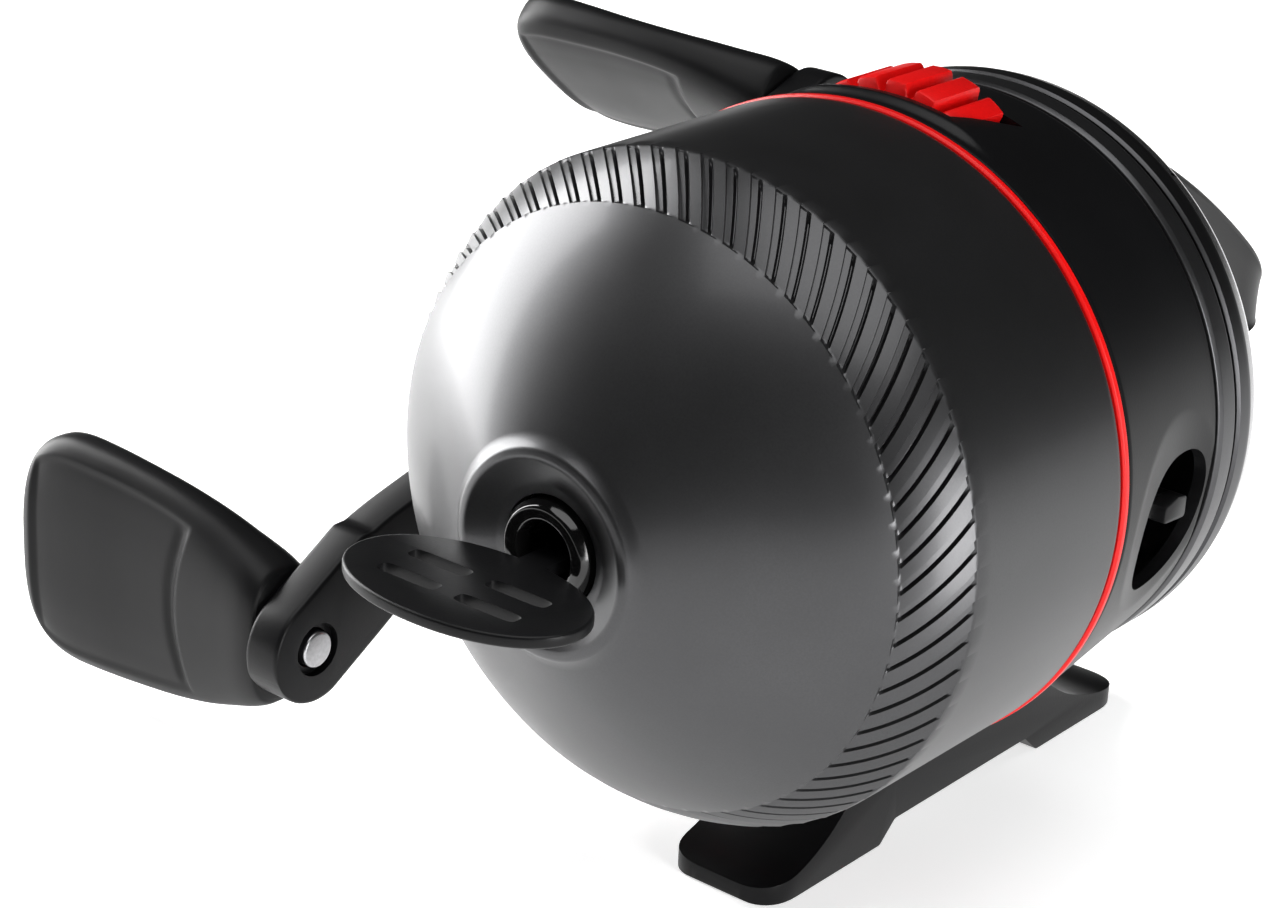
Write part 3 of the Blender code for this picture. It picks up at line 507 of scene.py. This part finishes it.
SHROUD_LOW, SHROUD_HIGH = span("body_shroud")
SHROUD_END_R = 31.0
SHROUD_WALL = 1.7
SHROUD_EDGE = 0.35
HUMP_HEIGHT = 0.75
SCOOP_DEPTH = 1.3
DIAL_MIDDLE = middle("drag_dial")
DIAL_LOW, DIAL_HIGH = span("drag_dial")
DIAL_R = (DIAL_HIGH.x - DIAL_LOW.x) / 2
CRANK = middle("crankshaft")
SWITCH = middle("alert_switch")
FOOT_LOW, FOOT_HIGH = span("reel_foot")
FOOT_SCREWS = ("foot_screw_front", "foot_screw_rear")


def step_up(x, low, high):
    """0 below low, 1 above high, and smooth between."""
    t = np.clip((x - low) / (high - low), 0, 1)
    return t * t * (3 - 2 * t)


def dial_hump(turn, y):
    """The raised surround of the drag dial, steep in front and fading behind."""
    side = np.degrees(turn) - 90
    across = step_up(side, -27, -15) * (1 - step_up(side, 12, 22))
    along = step_up(y, 1.7, 2.9) * (1 - step_up(y, 4.0, 17.5))
    return HUMP_HEIGHT * across * along


def window_scoop(turn, y, radius):
    """The shallow dish round the side window."""
    z = radius * np.sin(turn)
    facing = np.cos(turn) > 0
    away = ((y - 12.2) / 9.2) ** 2 + ((z - SWITCH.z - 0.2) / 10.6) ** 2
    return np.where(facing & (away < 1), SCOOP_DEPTH * np.clip(1 - away, 0, 1) ** 1.3, 0)


def window_cutter():
    """The oval window, leaning back a little at its top."""
    outline = [(y + 13.6, z + SWITCH.z - 1.0) for y, z in oval(6.1, 7.1, 2.3, 64)]
    slanted = [(y + 0.12 * (z - SWITCH.z), z) for y, z in outline]
    return prism("window_tool", slanted, "X", 24, 36)


def body_shroud():
    """The tapered black sleeve with its window, dial slot, crank hole and foot slot."""
    count = 720
    turns = 2 * math.pi * np.arange(count) / count
    low, high = SHROUD_LOW.y, SHROUD_HIGH.y
    rows = []
    slope = (COVER_R - SHROUD_END_R) / (high - low)
    for y in np.concatenate(([low, low + 0.1, low + 0.3], np.linspace(low + 0.6, high - 0.5, 64),
                             [high - 0.2, high - 0.05, high])):
        edge = min(y - low, high - y)
        corner = max(SHROUD_EDGE - edge, 0)
        round_off = SHROUD_EDGE - math.sqrt(max(SHROUD_EDGE ** 2 - corner ** 2, 0))
        base = COVER_R - 0.05 - slope * (y - low) - round_off
        radius = base + dial_hump(turns, y) - window_scoop(turns, y, base)
        rows.append(np.stack([radius * np.cos(turns), np.full(count, y),
                              radius * np.sin(turns)], 1))
    for y in (high, low):
        radius = COVER_R - slope * (y - low) - SHROUD_WALL
        rows.append(np.stack([radius * np.cos(turns), np.full(count, y),
                              radius * np.sin(turns)], 1))
    piece = skin("shroud_shell", [[tuple(p) for p in row] for row in rows], wrap_rows=True)
    dial_tool = turned("dial_tool", [(0, DIAL_LOW.y - 0.6), (DIAL_R + 0.45, DIAL_LOW.y - 0.6),
                                     (DIAL_R + 0.45, DIAL_HIGH.y + 0.6),
                                     (0, DIAL_HIGH.y + 0.6)], "Y", DIAL_MIDDLE, 96)
    crank_tool = turned("crank_tool", [(0, -36), (7.4, -36), (7.4, -24), (0, -24)], "X", CRANK,
                        64)
    stem_tool = box("stem_tool", (FOOT_LOW.x - 0.45, 4.6, -36), (FOOT_HIGH.x + 0.45, 19.4, -27))
    cut(piece, window_cutter(), dial_tool, crank_tool, stem_tool)
    finish_piece(piece, "body_shroud", look("body_shroud"), 38)


def rear_ring():
    """The dark band between the shroud and the back cover."""
    low, high = span("rear_ring")
    outline = [(28.9, low.y), (high.x - 0.25, low.y), (high.x, low.y + 0.6),
               (high.x, high.y - 0.6), (high.x - 0.35, high.y), (28.9, high.y)]
    piece = turned("rear_ring_band", fillet(outline, [0, 0.2, 0.4, 0.4, 0.3, 0], 5),
                   segments=256)
    finish_piece(piece, "rear_ring", look("rear_ring"), 50)


BACK_LOW, BACK_HIGH = span("back_cover")
BUTTON_LOW, BUTTON_HIGH = span("thumb_button")
PIN = middle("button_pin")
BACK_SCREWS = ("back_screw_left", "back_screw_right", "back_screw_bottom")


def back_cover():
    """A dished cover with a rounded rim, pin lugs, screw holes and the button's opening."""
    face = BACK_HIGH.y
    rim = BACK_HIGH.x
    outline = [(0, face), (26.4, face), (29.2, face - 0.8), (30.6, face - 2.4), (rim, face - 4.6),
               (rim, BACK_LOW.y + 0.3), (rim - 0.3, BACK_LOW.y), (rim - 1.5, BACK_LOW.y),
               (rim - 1.5, face - 5), (29.0, face - 3.1), (26.5, face - 1.5), (0, face - 1.5)]
    outline = fillet(outline, [0, 4, 3, 3, 3, 0.1, 0.1, 0, 2, 2, 3, 0], 8, closed=False)
    piece = turned("back_cover_shell", outline, segments=224)
    half = BUTTON_HIGH.x + 0.9
    lugs = []
    for side in (-1, 1):
        edges = sorted((side * (half + 0.3), side * (half + 1.8)))
        lugs.append(box("lug_tool", (edges[0], 25.4, 21.3), (edges[1], 29.2, 24.9)))
    join(piece, *lugs)
    arch = [(x, min(28.2, math.sqrt(29.3 ** 2 - x ** 2))) for x in np.linspace(half, -half, 25)]
    opening = fillet([(-half, -4.5), (half, -4.5)] + arch, [2, 2] + [0.6] + [0] * 23 + [0.6], 6)
    tools = [prism("opening_tool", opening, "Y", 25.0, 33.0)]
    tools.append(turned("pin_tool", [(0, -19), (1.2, -19), (1.2, 19), (0, 19)], "X", PIN, 32))
    for node in BACK_SCREWS:
        spot = middle(node)
        tools.append(turned("screw_tool", [(0, 28), (1.5, 28), (1.5, 33), (0, 33)], "Y", spot,
                            32))
    cut(piece, *tools)
    finish_piece(piece, "back_cover", COVER_LOOK, 35)


FRAME_LEFT = span("main_frame")[0].x


def main_frame():
    """The casting seen through the window, the dial slot and the button opening."""
    rim, end = 28.3, 14.0
    outline = [(2.4, -22.0), (5.0, -22.0), (5.0, -4.6), (29.5, -4.6), (29.5, -8.0), (31.2, -8.0),
               (31.2, -0.85), (rim + 0.3, -0.85), (rim, 0.2), (rim, end), (rim - 1.7, end),
               (rim - 1.7, -2.6), (4.3, -2.6), (4.3, -6.0), (2.4, -6.0)]
    radii = [0.2, 0.3, 0.6, 0.4, 0.2, 0.2, 0.2, 0.3, 0.3, 2.6, 0.5, 0.5, 0.2, 0.1, 0.1]
    piece = turned("frame_casting", fillet(outline, radii, 8), segments=224)
    parts = [turned("boss_tool", [(0, FRAME_LEFT), (7.0, FRAME_LEFT), (7.0, -22.0),
                                  (0, -22.0)], "X", CRANK, 64),
             box("post_tool", (15, -3.1, -19.5), (19, 17.5, 0.5)),
             box("block_tool", (-6, 1.2, -28.7), (6, 18.5, -24.6)),
             turned("dial_boss", [(0, -3.1), (4.2, -3.1), (4.2, 3.2), (0, 3.2)], "Y",
                    DIAL_MIDDLE, 48)]
    for node in BACK_SCREWS:
        parts.append(turned("post_tool", [(0, -3.1), (2.6, -3.1), (2.6, 28.8), (0, 28.8)], "Y",
                            middle(node), 40))
    join(piece, *parts)
    tools = [turned("bore_tool", [(0, -36), (5.2, -36), (5.2, -20), (0, -20)], "X", CRANK, 64),
             turned("bore_tool", [(0, 13), (5.2, 13), (5.2, 21), (0, 21)], "X", CRANK, 64),
             turned("dial_tool", [(0, DIAL_LOW.y - 0.7), (DIAL_R + 0.5, DIAL_LOW.y - 0.7),
                                  (DIAL_R + 0.5, DIAL_HIGH.y + 3), (0, DIAL_HIGH.y + 3)], "Y",
                    DIAL_MIDDLE, 80),
             turned("screw_tool", [(0, -6), (2.4, -6), (2.4, 5), (0, 5)], "Y", DIAL_MIDDLE, 32)]
    cut(piece, *tools)
    finish_piece(piece, "main_frame", LOOKS["polished"], 35)


def foot_outline():
    """The foot seen from the side: flat pads, a raised middle and a curved stem."""
    pad = FOOT_LOW.z
    web = pad + 2.2
    front, rear = FOOT_LOW.y, FOOT_HIGH.y
    underside = fillet([(front, pad + 1.0), (front, pad), (3.5, pad), (6.0, web), (31.0, web),
                        (33.5, pad), (rear, pad), (rear, pad + 1.0)],
                       [0, 0.7, 0.8, 0.8, 0.8, 0.8, 0.7, 0], 4, closed=False)
    rear_top = smooth_line([(rear, pad + 1.9), (45.5, pad + 2.7), (39.5, pad + 4.7),
                            (34.2, pad + 8.2), (30.6, pad + 11.8), (28.0, -32.1)], 6)
    stem = fillet([(28.0, -32.1), (26.5, -31.8), (19.0, -31.8), (19.0, -29.0), (5.0, -29.0),
                   (5.0, -33.6), (1.5, -34.5)], [0, 0.8, 0.2, 0.4, 0.4, 0.2, 0], 4, closed=False)
    front_top = smooth_line([(1.5, -34.5), (-2.0, pad + 8.2), (-6.0, pad + 4.9),
                             (-10.5, pad + 2.8), (front, pad + 1.9)], 6)
    return underside + rear_top + stem[1:] + front_top[1:]


def reel_foot():
    """The foot with rounded pad corners and counterbored screw holes."""
    piece = prism("reel_foot_casting", foot_outline(), "X", FOOT_LOW.x, FOOT_HIGH.x)
    plan = fillet([(FOOT_LOW.x, FOOT_LOW.y), (FOOT_HIGH.x, FOOT_LOW.y),
                   (FOOT_HIGH.x, FOOT_HIGH.y), (FOOT_LOW.x, FOOT_HIGH.y)], 4.5, 10)
    combine(piece, "INTERSECT", [prism("plan_tool", plan, "Z", FOOT_LOW.z - 1, -20)])
    bevel(piece, 0.55, 3, 50)
    tools = []
    for node in FOOT_SCREWS:
        tools.append(turned("screw_tool", [(0, -20), (1.7, -20), (1.7, -41.4), (2.8, -41.4),
                                           (2.8, -50), (0, -50)], "Z", middle(node), 40))
    cut(piece, *tools)
    finish_piece(piece, "reel_foot", look("reel_foot"), 30)


# ---------------------------------------------------------------- crank and knobs

PIN_FRONT = middle("knob_pin_front")
PIN_REAR = middle("knob_pin_rear")
ARM_LOW, ARM_HIGH = span("crank_arm")
ARM_ALONG = Vector((0, PIN_REAR.y - PIN_FRONT.y, PIN_REAR.z - PIN_FRONT.z)).normalized()
ARM_ACROSS = Vector((0, -ARM_ALONG.z, ARM_ALONG.y))
HUB = Vector((0, CRANK.y, CRANK.z))
ARM_REACH = (Vector((0, PIN_REAR.y, PIN_REAR.z)) - HUB).dot(ARM_ALONG)
ARM_BOW = (HUB - Vector((0, PIN_REAR.y, PIN_REAR.z))).dot(ARM_ACROSS)    # pins below the hub
ARM_THICK = 4.5
ARM_END_R = 6
HUB_X = ARM_HIGH.x
END_X = ARM_LOW.x + ARM_THICK


def arm_half():
    """(distance from the hub, half width, inner face x) along half of the arm."""
    dish = smooth_line([(0, HUB_X), (7.5, HUB_X), (14, HUB_X - 0.9), (24, HUB_X - 3.6),
                        (32, END_X + 0.6), (35.5, END_X), (39, END_X)], 5)
    stations = []
    for s, x in dish:
        width = 6.1 - 0.85 * float(step_up(s, 5, 11)) + 0.75 * float(step_up(s, 34.5, 36.5))
        stations.append((s, width, min(x, HUB_X)))
    for degrees in list(range(0, 90, 6)) + [87]:
        angle = math.radians(degrees)
        stations.append((ARM_REACH + ARM_END_R * math.sin(angle), ARM_END_R * math.cos(angle),
                         END_X))
    return stations


def crank_arm():
    """The gently bowed two-ended arm, cranked outward towards both knobs."""
    half = arm_half()
    stations = [(-s, w, x) for s, w, x in half[:0:-1]] + half
    rows = []
    for s, w, x in stations:
        trim = min(0.6, w * 0.4)
        spine = HUB + ARM_ALONG * s - ARM_ACROSS * (ARM_BOW * min(abs(s) / ARM_REACH, 1) ** 2)
        outer = x - ARM_THICK
        corners = fillet([(x, w), (x, -w), (outer, -w), (outer, w)], trim, 4)
        rows.append([tuple(spine + ARM_ACROSS * a + Vector((b, 0, 0))) for b, a in corners])
    piece = skin("crank_arm_forging", rows)
    tools = [turned("hub_tool", [(0, -50), (3.25, -50), (3.25, -30), (0, -30)], "X", CRANK, 64)]
    for pin in (PIN_FRONT, PIN_REAR):
        tools.append(turned("pin_tool", [(0, -50), (2.2, -50), (2.2, END_X - 0.9),
                                         (2.9, END_X - 0.9), (2.9, -38), (0, -38)], "X", pin, 64))
    cut(piece, *tools)
    finish_piece(piece, "crank_arm", look("crank_arm"), 32)


def pin_and_shaft_pieces():
    """The crankshaft, knob pins, washer and nut, turned finely enough to see close up."""
    for node in ("knob_pin_front", "knob_pin_rear"):
        low, high = span(node)
        r = (high.z - low.z) / 2
        outline = fillet([(0, low.x), (r, low.x), (r, high.x), (0, high.x)], [0, 0.3, 0.35, 0],
                         5, closed=False)
        piece = turned(node + "_rivet", outline, "X", middle(node), 64)
        finish_piece(piece, node, look(node), 40)
    low, high = span("crankshaft")
    r = (high.y - low.y) / 2
    outline = fillet([(0, low.x), (r, low.x), (r, high.x), (0, high.x)], [0, 0.6, 0.4, 0], 5,
                     closed=False)
    piece = turned("crankshaft_bar", outline, "X", CRANK, 64)
    finish_piece(piece, "crankshaft", look("crankshaft"), 40)
    low, high = span("crank_washer")
    r = (high.y - low.y) / 2
    outline = fillet([(3.3, low.x), (r, low.x), (r, high.x), (3.3, high.x)], 0.2, 3)
    piece = turned("crank_washer_ring", outline, "X", CRANK, 80)
    finish_piece(piece, "crank_washer", look("crank_washer"), 40)
    low, high = span("handle_nut")
    r = (high.y - low.y) / 2
    hexagon = [(CRANK.y + r * math.cos(math.radians(60 * k)),
                CRANK.z + r * math.sin(math.radians(60 * k))) for k in range(6)]
    piece = prism("handle_nut_hex", hexagon, "X", low.x, high.x)
    bevel(piece, 0.35, 3, 40)
    cut(piece, turned("bore_tool", [(0, low.x - 2), (3.3, low.x - 2), (3.3, high.x + 2),
                                    (0, high.x + 2)], "X", CRANK, 48))
    finish_piece(piece, "handle_nut", look("handle_nut"), 30)


KNOB_REAR_TURN = math.radians(50)    # free knobs turn on their pins
KNOB_PROFILE = (
    # x from the neck, half width, half thickness
    (0.0, 7.0, 4.3), (0.5, 7.8, 4.6), (2.5, 8.8, 4.65), (6.0, 10.0, 4.3), (10.0, 11.2, 3.95),
    (15.0, 12.2, 3.65), (21.0, 12.9, 3.65), (27.0, 13.3, 3.95), (31.5, 13.3, 4.15),
    (34.5, 12.5, 4.15), (36.6, 10.8, 3.8), (37.8, 8.2, 3.0), (38.35, 5.2, 1.9), (38.5, 2.0, 0.8))


def panel_depth(s, a, width):
    """How far a face is sunk: a panel inside a border, with a curved groove by the neck."""
    from_edge = width - abs(a)
    from_end = 38.2 - s
    curve = s - 11.4 - 1.2 * math.cos(a / 4.6)
    inside = min(float(step_up(from_edge, 1.6, 2.5)), float(step_up(from_end, 2.2, 3.4)),
                 float(step_up(curve, 0.0, 0.9)))
    groove = math.exp(-((curve - 1.5) / 0.6) ** 2) * float(step_up(from_edge, 2.2, 3.6))
    return 0.5 * inside + 0.3 * groove


def knob(node, pin, name, turn):
    """A paddle with a raised border round a sunken panel on both faces."""
    neck = span(node)[1].x
    stations = smooth_line(KNOB_PROFILE, 14)
    c, sn = math.cos(turn), math.sin(turn)
    rows = []
    for s, width, thick in stations:
        ring = []
        for a, b in oval(width, thick, 2.8, 120):
            face = min(1.0, (abs(b) / thick) ** 2 * 1.2)
            b -= math.copysign(panel_depth(s, a, width) * face, b)
            ring.append((neck - s, pin.y + b * c - a * sn, pin.z + b * sn + a * c))
        rows.append(ring)
    piece = skin(name, rows)
    cut(piece, turned("bore_tool", [(0, neck - 29.0), (2.35, neck - 29.0), (2.35, neck + 4),
                                    (0, neck + 4)], "X", pin, 48))
    finish_piece(piece, node, look(node), 40)


# ---------------------------------------------------------------- controls

DIAL_RIBS = 22
# radius below the rim across one rib: a flat, a step down, a floor and a slope up
RIB_SHAPE = ((0.0, 0.0), (0.28, 0.0), (0.56, 0.05), (0.62, 0.2), (0.70, 1.35), (0.84, 1.4),
             (0.95, 0.25))


def drag_dial():
    """A chunky thumbwheel: flat ribs with sloping notches between them."""
    turns = []
    drops = []
    for i in range(DIAL_RIBS):
        turns += [2 * math.pi * (i + place) / DIAL_RIBS for place, drop in RIB_SHAPE]
        drops += [drop for place, drop in RIB_SHAPE]
    rows = []
    edges = ((DIAL_LOW.y, 0.45), (DIAL_LOW.y + 0.12, 0.14), (DIAL_LOW.y + 0.45, 0.0),
             (DIAL_HIGH.y - 0.45, 0.0), (DIAL_HIGH.y - 0.12, 0.14), (DIAL_HIGH.y, 0.45))
    for y, inset in edges:
        rows.append([on_axis("Y", DIAL_MIDDLE, (DIAL_R - drop - inset) * math.cos(turn),
                             (DIAL_R - drop - inset) * math.sin(turn), y)
                     for turn, drop in zip(turns, drops)])
    piece = skin("drag_dial_wheel", rows)
    cut(piece, turned("bore_tool", [(0, 0), (2.3, 0), (2.3, 16), (0, 16)], "Y", DIAL_MIDDLE, 40))
    finish_piece(piece, "drag_dial", look("drag_dial"), 25)


def button_top(y):
    """Height of the crown, falling faster towards the tip."""
    t = (y - 28.0) / (BUTTON_HIGH.y - 28.0)
    return 27.1 - 15.6 * t - 9.7 * t ** 2


def button_width(y, half):
    """Half width: straight sides, then a rounded tip."""
    start = 55.0
    if y <= start:
        return half
    t = (y - start) / (BUTTON_HIGH.y + 1.2 - start)
    return half * math.sqrt(max(1 - t ** 2.6, 0))


def button_section(y, shrink, floor, scoop):
    """One section across the button: a crowned top, hollowed sides and a flat floor."""
    top = button_top(y) - shrink
    width = button_width(y, BUTTON_HIGH.x) - shrink
    floor += shrink * 0.5
    edge = top - min(2.1, 0.3 * (top - floor))
    corner = min(0.35, 0.08 * (edge - floor))
    side = [(width - corner, floor), (width, floor + corner)]
    for f in (0.1, 0.2, 0.32, 0.45, 0.6, 0.74, 0.86, 0.94):
        side.append((width - scoop * math.sin(math.pi * f) ** 0.6, floor + f * (edge - floor)))
    crown = []
    for k in range(37):
        angle = math.pi * k / 36
        c, s = math.cos(angle), math.sin(angle)
        crown.append((width * math.copysign(abs(c) ** 0.42, c), edge + (top - edge) * s ** 0.9))
    mirror = [(-x, z) for x, z in reversed(side)]
    return [(x, y, z) for x, z in side + crown + mirror]


def button_rows(stations, shrink, floor, scoop):
    """Sections along the button; its last millimetre rounds off."""
    rows = []
    for y in stations:
        narrow = 1 - float(step_up(y, 55, 64.5))
        nearness = max(0.0, 1 - (BUTTON_HIGH.y - y) / 1.4)
        tip = 1.4 * (1 - math.sqrt(1 - nearness ** 2))
        rows.append(button_section(y, shrink + tip, floor, scoop * narrow))
    return rows


def thumb_button():
    """The hollow cap with its pivot barrel and the tongue that pushes the centre shaft."""
    floor = BUTTON_LOW.z
    tip = BUTTON_HIGH.y
    stations = list(np.linspace(28.4, 55, 16)) + list(np.linspace(56, tip - 1.4, 24))
    stations += [tip - 1.1, tip - 0.8, tip - 0.5, tip - 0.3, tip - 0.15, tip - 0.05, tip]
    piece = skin("thumb_button_cap", button_rows(stations, 0, floor, 1.0))
    hollow = skin("hollow_tool", button_rows([29.6, 31.3, 36, 42, 46, 50, 54, 58, 61, 62.5], 1.9,
                                             floor + 1.5, 0.7))
    cut(piece, hollow)
    pivot = (0, PIN.y, PIN.z)
    barrel = turned("barrel_tool", [(0, -12.5), (2.6, -12.5), (2.6, 12.5), (0, 12.5)], "X",
                    pivot, 48)
    pusher = box("pusher_tool", (-2.5, 28.9, floor + 0.5), (2.5, 36.0, 4.0))
    join(piece, barrel, pusher)
    cut(piece, turned("pin_tool", [(0, -14), (1.3, -14), (1.3, 14), (0, 14)], "X", pivot, 32))
    finish_piece(piece, "thumb_button", look("thumb_button"), 32)


def alert_switch():
    """The little lever seen in the side window."""
    low, high = span("alert_switch")
    tab = fillet([(12.2, low.z + 0.3), (16.2, low.z), (16.2, high.z - 0.3), (14.4, high.z),
                  (12.2, high.z - 0.6)], 0.5, 4)
    piece = prism("alert_switch_lever", tab, "X", 28.8, high.x)
    bevel(piece, 0.2, 2, 40)
    join(piece, box("stem_tool", (low.x, 14.6, low.z + 0.3), (29.4, 16.0, high.z - 0.3)))
    finish_piece(piece, "alert_switch", look("alert_switch"), 30)


def line_keeper():
    """The flat oval tag with plain slots that keeps the line's end from running in."""
    low, high = span("line_keeper_tag")
    centre_x = (low.x + high.x) / 2
    half_x = (high.x - low.x) / 2
    half_y = 7.5
    centre_y = low.y + half_y
    plate = [(centre_x + x, centre_y + y) for x, y in oval(half_x, half_y, 2.1, 96)]
    piece = prism("line_keeper_plate", plate, "Z", low.z, high.z)
    bevel(piece, 0.3, 3, 50)
    join(piece, box("tongue_tool", (-1.6, centre_y + 3, low.z), (1.6, high.y, high.z)))
    slots = []
    for row in (-2.4, 1.6):
        for column in (-4.6, 4.6):
            x, y = centre_x + column, centre_y + row
            outline = [(x + a, y + b) for a, b in oval(3.5, 0.85, 5, 40)]
            slots.append(prism("slot_tool", outline, "Z", low.z - 1, high.z + 1))
    cut(piece, *slots)
    finish_piece(piece, "line_keeper_tag", look("line_keeper_tag"), 35)


def screw_heads():
    """Pan-head screws with a cross recess."""
    jobs = [(node, "Y", 1) for node in BACK_SCREWS] + [(node, "Z", -1) for node in FOOT_SCREWS]
    for node, axis, way in jobs:
        low, high = span(node)
        k = "XYZ".index(axis)
        head, tip = (high[k], low[k]) if way > 0 else (low[k], high[k])
        head_r = (high.x - low.x) / 2
        depth = 1.4 if axis == "Y" else 2.1
        seat = head - way * depth
        outline = [(0, tip), (1.2, tip), (1.2, seat), (head_r, seat), (head_r, seat + way * 0.5),
                   (head_r * 0.75, head), (0, head)]
        outline = fillet(outline, [0, 0.2, 0, 0.15, 0.4, 0.6, 0], 5, closed=False)
        spot = middle(node)
        piece = turned(node + "_body", outline, axis, spot, 48)
        for length, width in ((1.3, 0.3), (0.3, 1.3)):
            if axis == "Y":
                tool = box("cross_tool", (spot.x - length, head - 0.8, spot.z - width),
                           (spot.x + length, head + 1, spot.z + width))
            else:
                tool = box("cross_tool", (spot.x - length, spot.y - width, head - 1),
                           (spot.x + length, spot.y + width, head + 0.8))
            cut(piece, tool)
        finish_piece(piece, node, look(node), 30)


# ---------------------------------------------------------------- stage

FLOOR_GAP = 0.05
FLOOR_REACH = 2500
SKY_HORIZON = 0.5
SKY_OVERHEAD = 0.12


def area_light(name, place, aim, size, power):
    """A soft rectangular lamp; place and aim in millimetres, size in metres, power in watts."""
    data = bpy.data.lights.new(name, "AREA")
    data.shape = "RECTANGLE"
    data.size, data.size_y = size
    data.energy = power
    lamp = bpy.data.objects.new(name, data)
    lamp.location = CENTRE + Vector(place) * MM
    toward = Vector(aim) - Vector(place)
    lamp.rotation_mode = "QUATERNION"
    lamp.rotation_quaternion = toward.to_track_quat("-Z", "Y")
    bpy.context.scene.collection.objects.link(lamp)


def floor():
    """A pale floor just under the foot, far larger than the view."""
    low = FOOT_LOW.z - FLOOR_GAP
    reach = FLOOR_REACH
    corners = [(-reach, -reach, low), (reach, -reach, low), (reach, reach, low),
               (-reach, reach, low)]
    piece = add_object("studio_floor", corners, [(0, 1, 2, 3)])
    pale = bpy.data.materials.new("pale_floor")
    pale.use_nodes = True
    shader = pale.node_tree.nodes["Principled BSDF"]
    shader.inputs["Base Color"].default_value = (0.93, 0.93, 0.93, 1)
    shader.inputs["Roughness"].default_value = 0.7
    shader.inputs["Emission Color"].default_value = (1, 1, 1, 1)
    shader.inputs["Emission Strength"].default_value = 0.6
    piece.data.materials.append(pale)


def world():
    """A sky that is light at the horizon and darker overhead."""
    sky = bpy.data.worlds.new("studio")
    sky.use_nodes = True
    bpy.context.scene.world = sky
    nodes, links = sky.node_tree.nodes, sky.node_tree.links
    place = nodes.new("ShaderNodeTexCoord")
    split = nodes.new("ShaderNodeSeparateXYZ")
    links.new(place.outputs["Generated"], split.inputs["Vector"])
    fall = nodes.new("ShaderNodeMapRange")
    fall.inputs["From Min"].default_value = 0.0
    fall.inputs["From Max"].default_value = 0.75
    fall.inputs["To Min"].default_value = SKY_HORIZON
    fall.inputs["To Max"].default_value = SKY_OVERHEAD
    links.new(split.outputs["Z"], fall.inputs["Value"])
    links.new(fall.outputs["Result"], nodes["Background"].inputs["Strength"])
    bpy.context.scene.view_settings.view_transform = "Standard"


VIEW_AZIMUTH = math.radians(38.5)
VIEW_ELEVATION = math.radians(22.3)
VIEW_ROLL = math.radians(2.8)
VIEW_DISTANCE = 298.5
VIEW_AIM = (-10.1, -18.5, -0.8)
VIEW_LENS = 86.8


def camera():
    """The view that shows the nose, the window and the crank together."""
    data = bpy.data.cameras.new("camera")
    data.lens = VIEW_LENS
    data.sensor_width = 36
    data.clip_start = 0.005
    data.clip_end = 20
    eye = bpy.data.objects.new("camera", data)
    back = Vector((math.sin(VIEW_AZIMUTH) * math.cos(VIEW_ELEVATION),
                   -math.cos(VIEW_AZIMUTH) * math.cos(VIEW_ELEVATION),
                   math.sin(VIEW_ELEVATION)))
    eye.location = CENTRE + (Vector(VIEW_AIM) + back * VIEW_DISTANCE) * MM
    turn = (-back).to_track_quat("-Z", "Y").to_matrix().to_4x4()
    eye.rotation_mode = "QUATERNION"
    eye.rotation_quaternion = (turn @ Matrix.Rotation(VIEW_ROLL, 4, "Z")).to_quaternion()
    bpy.context.scene.collection.objects.link(eye)
    bpy.context.scene.camera = eye


def stage():
    floor()
    world()
    area_light("key_left", (-520, -60, 150), (0, -20, 0), (0.3, 0.5), 6.0)
    area_light("top_soft", (60, -150, 900), (0, 0, 0), (0.9, 0.9), 7.0)
    area_light("low_right", (400, -80, -25), (20, -10, -10), (0.16, 0.4), 2.6)
    camera()


def build():
    repaint_frame()
    front_cover()
    line_guide()
    trim_band()
    body_shroud()
    rear_ring()
    back_cover()
    main_frame()
    reel_foot()
    crank_arm()
    pin_and_shaft_pieces()
    knob("knob_front", PIN_FRONT, "knob_front_paddle", 0.0)
    knob("knob_rear", PIN_REAR, "knob_rear_paddle", KNOB_REAR_TURN)
    drag_dial()
    thumb_button()
    alert_switch()
    line_keeper()
    screw_heads()
    stage()


build()
